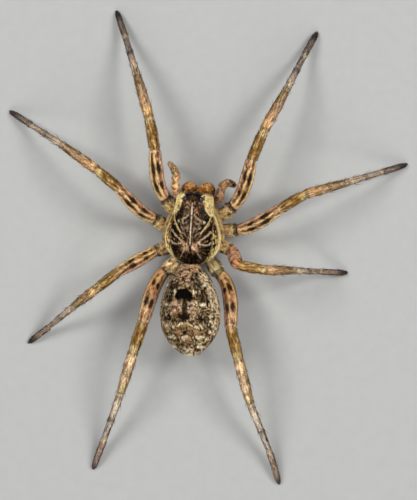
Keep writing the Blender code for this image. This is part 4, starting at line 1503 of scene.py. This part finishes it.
class LegMarkings(Markings):
    """Markings of one leg, painted segment by segment from hip to foot."""

    def __init__(self, leg: "Leg", form: LimbForm, along: np.ndarray, angle: np.ndarray,
                 points: np.ndarray) -> None:
        """Work out places, angles from the top, and the patterns that the segments share.

        Args:
            leg: Leg whose colours are wanted.
            form: Its form.
            along: Shares of its length.
            angle: Angles round it.
            points: Positions in metres.
        """
        super().__init__(Hue.olive, points)
        self.pair, self.rosy = leg.pair, leg.rosy
        self.lightness, self.crest = (0.75, 0.35) if leg.pair == 4 else (0.25, 0.85)
        self.form, self.along, self.angle = form, along, angle
        self.place = form.place_of(along)
        outer = leg.side.sign * (-1.0 if leg.pair < 3 else 1.0)
        self.turn = (np.angle(np.exp(1j * (angle - math.pi / 2))) * outer
                     + leg.twist * fade(2.0 - self.place, 0.0, 0.3))
        self.top = np.abs(self.turn)
        self.wave = (mottle(points, 0.5, 73) - 0.5) * 0.3
        self.grit = self.specks(0.13, 71, 0.20)
        self.dark_lines = self.lines(0.11, 77, 0.26)
        self.pale_lines = self.lines(0.10, 78, 0.30)
        self.patchy = self.specks(0.26, 72, 0.35, 0.1)

    def lines(self, grain: float, seed: int, share: float) -> np.ndarray:
        """Fine lines along the leg that cover about a given share of it.

        Args:
            grain: Width of a line in millimetres.
            seed: Picks one of many such patterns.
            share: Share of the surface that the lines cover.

        Returns:
            One value for each point, from nought to one.
        """
        half = 0.6 * MM
        line = np.stack([self.along * self.form.length / 5.0, np.cos(self.angle) * half,
                         np.sin(self.angle) * half], axis=1)
        return speckle(line, grain, seed, share)

    def coxa(self) -> None:
        """Coxa and trochanter: straw and cream above, brown between, with painted light on the hind pair."""
        place, turn, top = self.place, self.turn, self.top
        dark_lines, pale_lines, patchy = self.dark_lines, self.pale_lines, self.patchy
        if self.pair == 4:
            self.lay(Hue.sand, 0.85 * np.ones(len(place)))
            self.lay(Hue.pink, 0.6 * patchy)
        straw, ring = (0.35, 0.25) if self.pair == 4 else (0.65, 0.80)
        self.lay(Hue.straw, 0.30 + straw * fade(top, 0.70, 0.3) * self.specks(0.24, 75, 0.62))
        self.lay(Hue.cream, 0.8 * fade(top, 0.8, 0.3) * pale_lines)
        self.lay(Hue.fawn, 0.60 * self.specks(0.34, 66, 0.34, 0.1))
        self.lay(Hue.pink, 0.75 * self.specks(0.30, 67, 0.36, 0.1))
        self.lay(Hue.umber, 0.8 * self.specks(0.18, 74, 0.28))
        self.lay(Hue.umber, 0.75 * dark_lines)
        self.lay(Hue.umber, 0.6 * band(top, 1.35, 0.28, 0.2))
        self.lay(Hue.umber, 0.6 * band(turn, -0.75, 0.28, 0.12) * patchy)
        self.lay(Hue.cream, 1.1 * self.crest * band(turn, 1.20, 0.16, 0.08))
        self.lay(Hue.cream, ring * band(place, 1.45, 0.08, 0.05) * (1 - 0.7 * patchy))
        # Painted light: the hind pair's coxae made nearly twice as light; every coxa is also warmed in tone.
        strength = 1.9 if self.pair == 4 else 1.0
        self.tone = np.minimum(self.tone * strength * np.array((1.03, 0.95, 0.93)), 1.0)
        self.lay(Hue.umber, 0.8 * band(place, 1.56, 0.04, 0.02))
        self.lay(Hue.purple, (1.15 - 0.24 * self.pair) * band(place, 1.77, 0.19, 0.06))
        self.lay(Hue.brown, 0.8 * band(place, 1.86, 0.12, 0.06) * self.specks(0.22, 83, 0.46))
        self.lay(Hue.umber, 0.7 * band(place, 2.0, 0.025, 0.015))

    def femur(self) -> None:
        """Femur: rosy, with two rows of dark marks and a pale line on top."""
        place, turn, top, wave = self.place, self.turn, self.top, self.wave
        grit, dark_lines, pale_lines, patchy = self.grit, self.dark_lines, self.pale_lines, self.patchy
        femur = band(place, 2.52, 0.49, 0.015)
        near = np.clip((2.72 - place) / 0.4, 0.0, 1.0)
        self.lay(Hue.petal, femur)
        warmth = (0.40, 0.45, 0.70, 0.85)[self.pair - 1]
        self.lay(Hue.orange if self.pair > 2 else Hue.pink, warmth * femur * near)
        self.lay(Hue.petal, 0.9 * femur * band(turn, -1.1, 0.35, 0.2))
        self.lay(Hue.cream, 0.55 * femur * pale_lines)
        self.lay(Hue.fawn, 0.60 * femur * dark_lines)
        self.lay(Hue.umber, 0.60 * femur * grit)
        edge = 0.95 if self.pair < 4 else 0.5
        self.lay(Hue.cream, edge * femur * band(turn, 1.15, 0.22, 0.08))
        self.lay(Hue.moss, 0.6 * femur * fade(np.abs(turn - 0.45 + wave), 0.20, 0.10) * patchy)
        self.lay(Hue.russet, 0.5 * femur * fade(np.abs(turn + 0.40 + wave), 0.14, 0.08))
        run = femur * band(place, 2.52, 0.40, 0.06)
        strength = (1.15, 0.8, 1.1, 0.3)[self.pair - 1]
        for row in (-0.42, 0.46):
            stripe = run * fade(np.abs(turn - row + 0.9 * wave), 0.20, 0.08) * strength
            self.lay(Hue.golden, 0.65 * stripe * self.specks(0.30, 79, 0.70, 0.10))
            self.lay(Hue.russet, 0.50 * stripe * self.specks(0.24, 68, 0.40))
            self.lay(Hue.brown, 0.70 * stripe * self.specks(0.20, 80, 0.56, 0.10))
        marks = np.zeros(len(place))
        long_half = 0.095 if self.pair < 3 else 0.072
        for row in (-0.42, 0.46):
            for centre, half in ((2.31, 0.85), (2.66, 1.15)):
                mark = spot(turn + 0.7 * wave, place + 0.14 * wave, (row, centre - 0.03 * row),
                            (0.34, 1.12 * long_half * half), 0.30)
                marks = np.maximum(marks, mark)
            marks = np.maximum(marks, 0.9 * spot(turn, place, (row * 0.8, 2.13), (0.13, 0.022), 0.4))
            marks = np.maximum(marks, 0.9 * spot(turn, place, (row * 1.4, 2.93), (0.16, 0.03), 0.4))
        self.lay(Hue.cream, self.crest * femur * fade(top, 0.10, 0.05) * (1 - marks))
        self.lay(Hue.umber, 0.94 * femur * marks)
        self.lay(Hue.brown, 0.7 * femur * marks * self.specks(0.16, 81, 0.40))
        self.tone = self.tone * (1 + femur[:, None] * np.array((0.02, -0.06, -0.17)))
        self.lay(Hue.rose, self.rosy * femur)
        self.lay(Hue.brown, self.rosy * femur * self.lines(0.14, 70, 0.24))
        self.lay(Hue.blush, 0.8 * self.rosy * femur * self.specks(0.20, 69, 0.34))
        self.tone = self.tone * (1 + 0.35 * self.rosy * femur)[:, None]
        knee = self.rosy * band(place, 2.93, 0.12, 0.05)
        self.lay(Hue.orange, 1.1 * knee * self.specks(0.18, 36, 0.55))
        self.lay(Hue.umber, knee * self.lines(0.13, 29, 0.30))
        self.lay(Hue.umber, 0.7 * band(place, 3.0, 0.022, 0.015) * fade(-top, -0.4, 0.2))

    def patella(self) -> None:
        """Patella: tan and olive, edged with black."""
        place, turn, top, wave = self.place, self.turn, self.top, self.wave
        grit, dark_lines, pale_lines, patchy = self.grit, self.dark_lines, self.pale_lines, self.patchy
        patella = band(place, 3.5, 0.49, 0.012)
        self.lay(Hue.tan, patella)
        self.lay(Hue.olive, 0.9 * patella * band(turn, 0.95, 0.36, 0.12))
        self.lay(Hue.moss, 0.85 * patella * fade(np.abs(turn - 0.45 + wave), 0.16, 0.08))
        self.lay(Hue.golden, 0.8 * patella * band(turn, -0.85, 0.30, 0.12))
        self.lay(Hue.russet, 0.7 * patella * fade(np.abs(turn + 0.30 + wave), 0.12, 0.06) * patchy)
        self.lay(Hue.golden, 0.70 * patella * fade(top, 0.62, 0.25) * fade(place, 3.72, 0.12))
        self.lay(Hue.russet, 0.55 * patella * self.specks(0.22, 65, 0.42) * fade(place, 3.75, 0.12))
        self.lay(Hue.cream, 0.6 * patella * fade(3.82 - place, 0.0, 0.08) * fade(top, 1.0, 0.3))
        self.lay(Hue.cream, 0.5 * patella * pale_lines)
        self.lay(Hue.umber, 0.6 * patella * dark_lines)
        self.lay(Hue.black, 0.9 * patella * fade(np.abs(turn + 0.92 + wave), 0.13, 0.06))
        self.lay(Hue.umber, 0.6 * patella * fade(np.abs(turn - 1.12 + wave), 0.08, 0.06))
        self.lay(Hue.umber, 0.45 * patella * grit)
        self.tone = self.tone * (1 + patella[:, None] * (0.30 * self.rosy + np.array((-0.02, -0.07, -0.14))))

    def tibia(self) -> None:
        """Tibia: tan, paler above, with fine lines and dark ends."""
        place, turn, top, wave = self.place, self.turn, self.top, self.wave
        grit, dark_lines, pale_lines, patchy = self.grit, self.dark_lines, self.pale_lines, self.patchy
        tibia = band(place, 4.5, 0.49, 0.012)
        self.lay(Hue.sand if self.pair == 4 else Hue.tan, tibia)
        self.lay(Hue.cream, self.lightness * tibia * fade(top, 0.48, 0.2))
        self.lay(Hue.pink, 0.45 * tibia * patchy)
        self.lay(Hue.orange, (0.3 - 0.3 * self.lightness) * tibia * band(place, 4.35, 0.30, 0.15))
        self.lay(Hue.golden, 0.7 * tibia * band(top, 0.95, 0.28, 0.12))
        self.lay(Hue.umber, 0.55 * tibia * fade(np.abs(turn + 1.15 + wave), 0.09, 0.06))
        self.lay(Hue.umber, 0.45 * tibia * fade(np.abs(turn - 1.2 + wave), 0.08, 0.06))
        self.lay(Hue.golden, 0.6 * tibia * fade(np.abs(turn + 0.12 + wave), 0.13, 0.06) * patchy)
        self.lay(Hue.blush, 0.9 * tibia * pale_lines)
        self.lay(Hue.fawn, 0.75 * tibia * dark_lines)
        self.lay(Hue.umber, 0.5 * tibia * grit)
        ends = np.maximum(band(place, 4.04, 0.035, 0.03), band(place, 4.97, 0.025, 0.02))
        self.lay(Hue.umber, 0.6 * tibia * ends)
        girdle = band(place, 4.82, 0.13, 0.05) * band(top, 0.85, 0.45, 0.15)
        self.lay(Hue.moss, 0.65 * tibia * girdle)
        self.lay(Hue.umber, 0.5 * tibia * spot(top, place, (0.75, 4.28), (0.20, 0.05), 0.4))
        far = 0.15 if self.pair == 4 else -0.28
        light = np.interp(place, (4.0, 4.15, 4.3, 4.45, 4.6, 5.0), (0.50, 0.50, 0.15, -0.17, far, far))
        self.tone = self.tone * (1 + tibia[:, None] * (light[:, None] + np.array((-0.02, 0.02, 0.12))))

    def metatarsus(self) -> None:
        """Metatarsus: sand, greyer towards the foot."""
        place, top = self.place, self.top
        grit, dark_lines, pale_lines, patchy = self.grit, self.dark_lines, self.pale_lines, self.patchy
        meta = band(place, 5.5, 0.49, 0.012)
        self.lay(Hue.sand, meta)
        self.lay(Hue.pink, (0.9 - self.lightness) * meta * patchy)
        self.lay(Hue.white, 0.8 * self.lightness * meta * fade(top, 0.6, 0.3))
        self.lay(Hue.umber, 0.6 * meta * band(top, 1.15, 0.16, 0.10))
        self.lay(Hue.blush, 0.5 * meta * pale_lines)
        self.lay(Hue.brown, 0.75 * meta * dark_lines)
        self.lay(Hue.umber, 0.5 * meta * grit)
        self.lay(Hue.cream, self.lightness * meta * fade(top, 0.14, 0.08))
        bands = np.maximum(band(place, 5.06, 0.04, 0.03), band(place, 5.55, 0.05, 0.04))
        self.lay(Hue.brown, 0.5 * meta * bands)
        light = np.interp(place, (5.0, 5.2, 5.5, 6.0), (0.08, 0.0, -0.30, -0.40))
        light = light + (-0.24 if self.pair == 1 else -0.04) * np.clip((place - 5.1) / 0.3, 0.0, 1.0)
        self.tone = self.tone * (1 + meta[:, None] * (light[:, None] + np.array((-0.03, 0.0, 0.12))))
        self.lay(Hue.sand, 0.5 * band(place, 5.965, 0.03, 0.02))

    def tarsus(self) -> None:
        """Tarsus: a grey brush, nearly black at the tip."""
        place, top = self.place, self.top
        dark_lines, pale_lines = self.dark_lines, self.pale_lines
        tarsus = fade(6.02 - place, 0.0, 0.02)
        self.lay(Hue.grey, tarsus)
        self.lay(Hue.fawn, 0.5 * tarsus * pale_lines * fade(place, 6.6, 0.2))
        self.lay(Hue.pink, 0.25 * tarsus * fade(top, 0.5, 0.2) * fade(place, 6.5, 0.2))
        self.lay(Hue.slate, 0.6 * tarsus * dark_lines)
        self.lay(Hue.slate, 0.85 * tarsus * band(top, 1.35, 0.45, 0.2))
        self.lay(Hue.slate, 0.85 * fade((6.75 if self.pair == 4 else 6.58) - place, 0.0, 0.18))
        light = (-0.34, -0.24, -0.06, 0.25)[self.pair - 1] + np.array((-0.03, 0.05, 0.12))
        self.tone = self.tone * (1 + tarsus[:, None] * light)
        # Painted shade: umber along the lower sides of the leg, from the femur to the foot.
        self.lay(Hue.umber, 0.62 * band(top, 1.62, 0.34, 0.12) * fade(2.0 - place, 0.0, 0.1))

    def painted(self) -> np.ndarray:
        """Paint every segment, then paint shade on the underside.

        Returns:
            One linear colour for each point.
        """
        for segment in (self.coxa, self.femur, self.patella, self.tibia, self.metatarsus, self.tarsus):
            segment()
        # Painted shade: brown under the leg.
        return paint(self.tone, Hue.brown, 0.45 * fade(-self.top, -2.0, 0.4))


@dataclass
class Leg:
    """One leg, its joints worked out from its hip, bearings and lengths."""

    maker: Maker
    prosoma: Prosoma
    pair: int
    side: Side
    hip: tuple
    coxa_bearing: float
    femur: float
    sway: float
    bearings: tuple
    reach: float = 1.0
    knee_heights: tuple = ()
    twist: float = 0.0
    rosy: float = 0.0
    hip_height: float = 2.15
    root_height: float = 2.05
    lift_per_side: float = 0.10
    tip_height: float = 0.07
    coxa_reach: float = 1.15
    root_half_width: float = 2.08
    root_half_length: float = 2.62
    coat_depth: float = 0.085
    spine_half: float = 0.035
    claw_radius: float = 0.030
    claw_step: float = 0.042
    claw_steps: int = 5
    radii: tuple = (
        (0.00, 0.46), (0.60, 0.65), (1.00, 0.77), (1.60, 0.79), (2.00, 0.67),
        (2.20, 0.71), (2.50, 0.76), (2.80, 0.70), (3.00, 0.63),
        (3.20, 0.62), (3.60, 0.62), (4.00, 0.56),
        (4.30, 0.58), (4.75, 0.53), (5.00, 0.46),
        (5.10, 0.43), (5.85, 0.36), (6.00, 0.34),
        (6.20, 0.33), (6.80, 0.28), (6.96, 0.21), (7.00, 0.12),
    )
    pinches: tuple = ((1.35, 0.10, 0.10), (2.0, 0.20, 0.13), (3.0, 0.16, 0.15), (4.0, 0.10, 0.12),
                      (5.0, 0.16, 0.12), (6.0, 0.12, 0.10))

    @property
    def name(self) -> str:
        """Name of the leg, as its nodes begin."""
        return "leg_%d_%s" % (self.pair, self.side.value)

    def joints(self) -> list:
        """Joints from the sternum to the tip of the foot.

        Returns:
            Nine corners of the leg's line as vectors, in metres.
        """
        angle = math.radians(ROOT_ANGLES[self.pair])
        local = Vector((self.side.sign * self.root_half_width * math.cos(angle),
                        self.prosoma.sternum_place[1] + self.root_half_length * math.sin(angle), 0.0))
        root = self.prosoma.place @ (local * MM)
        lift = self.lift_per_side * (root.x - self.prosoma.centre[0] * MM)
        root.z = self.root_height * MM + lift
        hip = Vector((self.hip[0] * MM, self.hip[1] * MM, self.hip_height * MM + lift))
        shoulder = hip - self.direction(self.coxa_bearing) * self.coxa_reach * MM
        shoulder.z = (root.z + hip.z) / 2
        joints = [root, shoulder, hip]
        levels = list(self.knee_heights or PAIR_HEIGHTS[self.pair]) + [self.tip_height]
        point = hip
        lengths = [self.femur] + [length * self.reach for length in PAIR_LENGTHS[self.pair]]
        for length, bearing, level in zip(lengths, self.bearings, levels):
            drop = level * MM - point.z
            run = math.sqrt(max((length * MM) ** 2 - drop ** 2, 0.0))
            point = point + self.direction(bearing) * run + Vector((0.0, 0.0, drop))
            joints.append(point)
        return joints

    @staticmethod
    def direction(bearing: float) -> Vector:
        """Unit step on the plan towards a bearing, from +X towards +Y."""
        return Vector((math.cos(math.radians(bearing)), math.sin(math.radians(bearing)), 0.0))

    def colour_for(self, form: LimbForm) -> Pattern:
        """Markings of the leg.

        Args:
            form: Form of the leg.

        Returns:
            The pattern that gives linear colours.
        """
        def colour(along: np.ndarray, angle: np.ndarray, points: np.ndarray) -> np.ndarray:
            """Colours segment by segment."""
            return LegMarkings(self, form, along, angle, points).painted()

        return colour

    def build(self) -> None:
        """Skin, coat, spines and claws of the leg."""
        form = LimbForm(self.joints(), self.radii, 0.95 * MM, girth=PAIR_GIRTH[self.pair],
                        inset=self.coat_depth * MM, bow=PAIR_BOW[self.pair] * MM, bowed_segment=2,
                        sway=self.sway * MM, sway_bearing=self.bearings[0],
                        pinches=self.pinches, cap=0.25)
        colour = self.colour_for(form)
        skin = form.skin(self.name + "_skin", 300, 32, colour)
        nodes = tuple(self.name + "_" + part for part in ("coxa", "femur", "tibia", "foot"))
        self.maker.finish(skin, self.maker.skin, Slot.LEG, nodes)

        def size(along: np.ndarray, angle: np.ndarray, points: np.ndarray) -> np.ndarray:
            """Shorter hair down the leg, a brush of it on the foot."""
            places = (0.0, 2.0, 4.0, 5.9, 6.1, 6.7, 7.0)
            return np.interp(form.place_of(along), places, (0.9, 1.0, 0.95, 0.75, 1.2, 1.4, 0.9))

        def thick(along: np.ndarray, angle: np.ndarray, points: np.ndarray) -> np.ndarray:
            """Denser hair on the foot."""
            return 1.0 + 1.2 * (form.place_of(along) > 6.02)

        coat = Coat(count=8000, length=0.32, width=0.042, lift=(0.36, 0.14), spread=0.28, length_at=size,
                    weight=thick, grid=(240, 32), seed=80 + self.pair * 2 + int(self.side is Side.LEFT))
        hair = coat.grow(self.name + "_coat", form, colour)
        self.maker.finish(hair, self.maker.hair, Slot.LEG)
        self.build_spines(form)
        self.build_claws(form)

    def build_spines(self, form: LimbForm) -> None:
        """Long dark spines on femur, tibia and metatarsus.

        Args:
            form: Form of the leg.
        """
        rows = []
        for place in (2.35, 2.62, 2.85):
            rows += [(place, angle) for angle in (0.9, 1.57, 2.2)]
        for place in (4.25, 4.55, 4.93):
            rows += [(place, angle) for angle in (0.15, 3.0, -0.9, -2.2)]
        for place in (5.18, 5.52, 5.95):
            rows += [(place, angle) for angle in (0.1, 3.0, -0.9, -2.2)]
        u = np.array([form.along_of(place) for place, angle in rows])
        a = np.array([angle for place, angle in rows])
        root, normal, onward = form.axes(u, a)
        across = unit(np.cross(normal, onward))
        rng = np.random.default_rng(90 + self.pair)
        length = (rng.uniform(0.75, 1.10, len(rows)) * MM)[:, None]
        way = unit(onward + normal * rng.uniform(0.18, 0.42, len(rows))[:, None])
        middle = root + way * length * 0.5
        tip = middle + unit(way + onward * 0.25) * length * 0.5
        half = self.spine_half * MM
        root = root - normal * 0.03 * MM
        corners = [root - across * half, root + across * half, root + normal * half,
                   middle - across * half * 0.7, middle + across * half * 0.7, middle + normal * half * 0.7,
                   tip]
        colour = np.tile(Hue.umber, (len(rows), 1))
        spines = tuft_mesh(self.name + "_spines", corners, SPINE_SHADES, colour, u, a)
        self.maker.finish(spines, self.maker.hair, Slot.LEG)

    def build_claws(self, form: LimbForm) -> None:
        """Pair of small claws at the tip, turned down to the floor.

        Args:
            form: Form of the leg.
        """
        tip = Vector(form.points[-1])
        way = Vector(form.tangents[-1])
        way.z = 0.0
        way.normalize()
        upward = Vector((0.0, 0.0, 1.0))
        across = way.cross(upward)
        bm = bmesh.new()
        for sign in (-1.0, 1.0):
            base = tip + across * sign * 0.05 * MM - way * 0.06 * MM + Vector((0.0, 0.0, 0.10 * MM))
            turn = Matrix((across, upward.cross(across), upward)).transposed()
            claw = bmesh.new()
            bmesh.ops.create_circle(claw, cap_ends=True, segments=8, radius=self.claw_radius * MM)
            ring = claw.faces[:]
            for _ in range(self.claw_steps):
                grown = bmesh.ops.extrude_face_region(claw, geom=ring)
                verts = [item for item in grown["geom"] if isinstance(item, bmesh.types.BMVert)]
                bmesh.ops.delete(claw, geom=ring, context="FACES_ONLY")
                ring = [item for item in grown["geom"] if isinstance(item, bmesh.types.BMFace)]
                bmesh.ops.translate(claw, verts=verts, vec=(0.0, 0.0, self.claw_step * MM))
                centre = sum((vert.co for vert in verts), Vector()) / len(verts)
                bmesh.ops.scale(claw, verts=verts, vec=(0.78, 0.78, 0.78), space=Matrix.Translation(-centre))
                bmesh.ops.rotate(claw, verts=verts, cent=centre, matrix=Matrix.Rotation(0.22, 3, "X"))
            aim = turn.to_4x4() @ Matrix.Rotation(-math.pi / 2 - 0.1, 4, "X")
            claw.transform(Matrix.Translation(base) @ aim)
            for vert in claw.verts:
                vert.co.z = max(vert.co.z, CLAW_FLOOR)
            bmesh.ops.recalc_face_normals(claw, faces=claw.faces)
            mesh = mesh_of("claw", claw)
            bm.from_mesh(mesh)
            bpy.data.meshes.remove(mesh)
        piece = new_piece(self.name + "_claws", mesh_of(self.name + "_claws", bm))
        self.maker.finish(piece, self.maker.horn, Slot.FOOT)


@dataclass
class Palp:
    """One palp, from beside the mouth to its tip."""

    maker: Maker
    side: Side
    joints: tuple
    # Painted light and shade: the whole palp's colour is multiplied by this, lighter above one and darker
    # below it.
    lightness: float = 1.0
    radii: tuple = (
        (0.00, 0.34), (0.40, 0.40), (1.00, 0.38), (1.60, 0.38), (2.00, 0.40), (2.50, 0.44),
        (3.00, 0.40), (3.50, 0.43), (4.00, 0.37), (4.50, 0.39), (5.00, 0.34),
        (5.40, 0.33), (5.85, 0.24), (6.00, 0.12),
    )

    def build(self) -> None:
        """Skin and coat of the palp."""
        joints = [Vector(joint) * MM for joint in self.joints]
        pinches = ((2.0, 0.14, 0.09), (3.0, 0.14, 0.10), (4.0, 0.12, 0.08), (5.0, 0.12, 0.08))
        form = LimbForm(joints, self.radii, 0.55 * MM, inset=0.05 * MM, pinches=pinches, cap=0.2)

        def colour(along: np.ndarray, angle: np.ndarray, points: np.ndarray) -> np.ndarray:
            """Pinkish tan with dark specks and stripes.

            Args:
                along: Shares along the palp.
                angle: Angles round it.
                points: Positions in metres.

            Returns:
                One linear colour for each point.
            """
            place = form.place_of(along)
            turn = np.angle(np.exp(1j * (angle - math.pi / 2)))
            look = Markings(Hue.blush, points)
            look.lay(Hue.olive, 0.7 * fade(place, 1.6, 0.3))
            look.lay(Hue.pink, 0.7 * look.specks(0.22, 94, 0.40))
            look.lay(Hue.cream, 0.6 * look.specks(0.16, 90, 0.34))
            look.lay(Hue.russet, 0.8 * look.specks(0.15, 91, 0.24))
            look.lay(Hue.umber, 0.8 * look.specks(0.20, 92, 0.20))
            # Painted light and shade: the whole palp scaled by its factor.
            look.tone = look.tone * self.lightness * np.array((1.02, 0.95, 0.86))
            look.lay(Hue.golden, 0.6 * band(place, 3.6, 0.35, 0.1) * fade(-np.abs(turn), -0.5, 0.2))
            look.lay(Hue.umber, 0.5 * fade(np.abs(np.abs(turn) - 1.1), 0.10, 0.08))
            rings = fade(np.abs(place - np.round(place)), 0.06, 0.04) * (place > 1.5)
            look.lay(Hue.umber, 0.5 * rings)
            look.lay(Hue.grey, 0.6 * fade(5.45 - place, 0.0, 0.15))
            return look.tone

        name = "palp_" + self.side.value
        skin = form.skin(name + "_skin", 150, 28, colour)
        self.maker.finish(skin, self.maker.skin, Slot.PALP, (name + "_base", name + "_end"))
        coat = Coat(count=2600, length=0.30, width=0.04, lift=(0.4, 0.16), grid=(140, 28), seed=93)
        hair = coat.grow(name + "_coat", form, colour)
        self.maker.finish(hair, self.maker.hair, Slot.PALP)


@dataclass
class Studio:
    """Floor, lights and the camera straight above."""

    floor_half: float = 0.6
    key_power: float = 0.72
    fill_power: float = 0.42

    def build(self) -> None:
        """Set up everything that isn't part of the object."""
        self.build_floor()
        self.build_lights()
        self.build_camera()

    def build_floor(self) -> None:
        """Plain pale card on which the model stands."""
        bm = bmesh.new()
        bmesh.ops.create_grid(bm, x_segments=2, y_segments=2, size=self.floor_half)
        mesh = mesh_of("floor", bm)
        floor = bpy.data.objects.new("floor", mesh)
        bpy.context.scene.collection.objects.link(floor)
        mesh.materials.append(CardFloor().build())

    def add_area(self, name: str, place: tuple, size: float, power: float) -> None:
        """Soft square light aimed at the middle of the model.

        Args:
            name: Name of the light.
            place: Where it hangs, in metres.
            size: Length of its sides in metres.
            power: Its power in watts.
        """
        light = bpy.data.lights.new(name, "AREA")
        light.shape = "SQUARE"
        light.size = size
        light.energy = power
        holder = bpy.data.objects.new(name, light)
        holder.location = place
        aim = Vector((0.0, 0.0, 0.003)) - Vector(place)
        holder.rotation_euler = aim.to_track_quat("-Z", "Y").to_euler()
        bpy.context.scene.collection.objects.link(holder)

    def build_lights(self) -> None:
        """Two soft boxes at the sides and an even sky."""
        self.add_area("key_left", (-0.20, 0.10, 0.22), 0.12, self.key_power)
        self.add_area("key_right", (0.20, 0.08, 0.22), 0.12, self.key_power)
        self.add_area("fill_low", (0.0, -0.26, 0.16), 0.14, self.fill_power)
        world = bpy.data.worlds.new("studio")
        world.use_nodes = True
        sky = world.node_tree.nodes["Background"]
        sky.inputs["Color"].default_value = (1.0, 1.0, 1.0, 1.0)
        sky.inputs["Strength"].default_value = 0.26
        bpy.context.scene.world = world
        bpy.context.scene.view_settings.view_transform = "Standard"

    def build_camera(self) -> None:
        """Camera at the photograph's angle, framed as it is."""
        camera = bpy.data.cameras.new("camera")
        camera.lens = LENS
        camera.sensor_width = SENSOR
        camera.sensor_fit = "AUTO"
        camera.clip_start = 0.001
        camera.clip_end = 10.0
        holder = bpy.data.objects.new("camera", camera)
        height = VIEW_PLANE + VIEW_HEIGHT * LENS / SENSOR
        holder.location = (VIEW_CENTRE[0], VIEW_CENTRE[1], height)
        bpy.context.scene.collection.objects.link(holder)
        bpy.context.scene.camera = holder


def build_legs(maker: Maker, prosoma: Prosoma) -> None:
    """Build all eight legs.

    Args:
        maker: Finishes and finishing steps.
        prosoma: Fore body that the legs start from.
    """
    left, right = Side.LEFT, Side.RIGHT
    raised = (7.35, 6.25, 4.50, 1.45)
    legs = (
        Leg(maker, prosoma, 1, left, (-4.45, 5.25), 120.0, 5.69, 0.40, (102.5, 99.8, 106.3, 107.2, 108.5)),
        Leg(maker, prosoma, 1, right, (2.49, 4.42), 48.0, 5.57, -0.39, (67.5, 67.6, 60.9, 62.7, 61.0)),
        Leg(maker, prosoma, 2, left, (-5.62, 3.14), 138.0, 5.42, 0.34, (140.1, 139.7, 144.5, 146.8, 147.0)),
        Leg(maker, prosoma, 2, right, (3.07, 1.95), 8.0, 5.37, -0.30, (26.1, 30.7, 15.8, 16.8, 17.2)),
        Leg(maker, prosoma, 3, left, (-5.54, -0.27), -168.0, 5.11, 0.0,
            (-150.2, -141.8, -143.7, -140.4, -142.7)),
        Leg(maker, prosoma, 3, right, (2.45, -0.25), -25.0, 5.24, 0.0, (-71.8, -11.0, -1.0, -2.7, -2.7),
            1.06, raised, rosy=0.75),
        Leg(maker, prosoma, 4, left, (-4.60, -2.50), -138.0, 6.16, -0.36,
            (-112.6, -108.7, -107.3, -110.0, -110.8), 0.975),
        Leg(maker, prosoma, 4, right, (1.13, -2.75), -58.0, 6.06, 0.60,
            (-78.2, -76.1, -75.2, -68.1, -73.6), 1.025,
            twist=0.2),
    )
    for leg in legs:
        leg.build()


def build_palps(maker: Maker) -> None:
    """Build both palps, the left held forwards and lightened with painted light, the right curled outwards
    and darkened with painted shade.

    Args:
        maker: Finishes and finishing steps.
    """
    Palp(maker, Side.LEFT, ((-2.20, 4.50, 1.75), (-2.82, 5.03, 1.95), (-3.36, 5.74, 2.35),
                            (-3.48, 6.80, 3.50), (-3.32, 7.60, 3.35), (-3.60, 8.22, 2.40),
                            (-4.15, 8.98, 1.05)), 1.42).build()
    Palp(maker, Side.RIGHT, ((-0.40, 4.55, 1.90), (0.50, 4.78, 2.02), (1.16, 5.12, 2.42),
                             (1.26, 6.05, 3.50), (1.66, 6.70, 3.42), (2.25, 6.78, 2.90),
                             (2.72, 6.52, 1.98)), 0.72).build()


def main() -> None:
    """Build the model piece by piece, then the studio."""
    logging.basicConfig(level=logging.INFO, format="%(name)s: %(message)s")
    maker = Maker()
    prosoma = Prosoma(maker)
    prosoma.build()
    Abdomen(maker).build()
    build_palps(maker)
    build_legs(maker, prosoma)
    Studio().build()


if __name__ == "__main__":
    main()
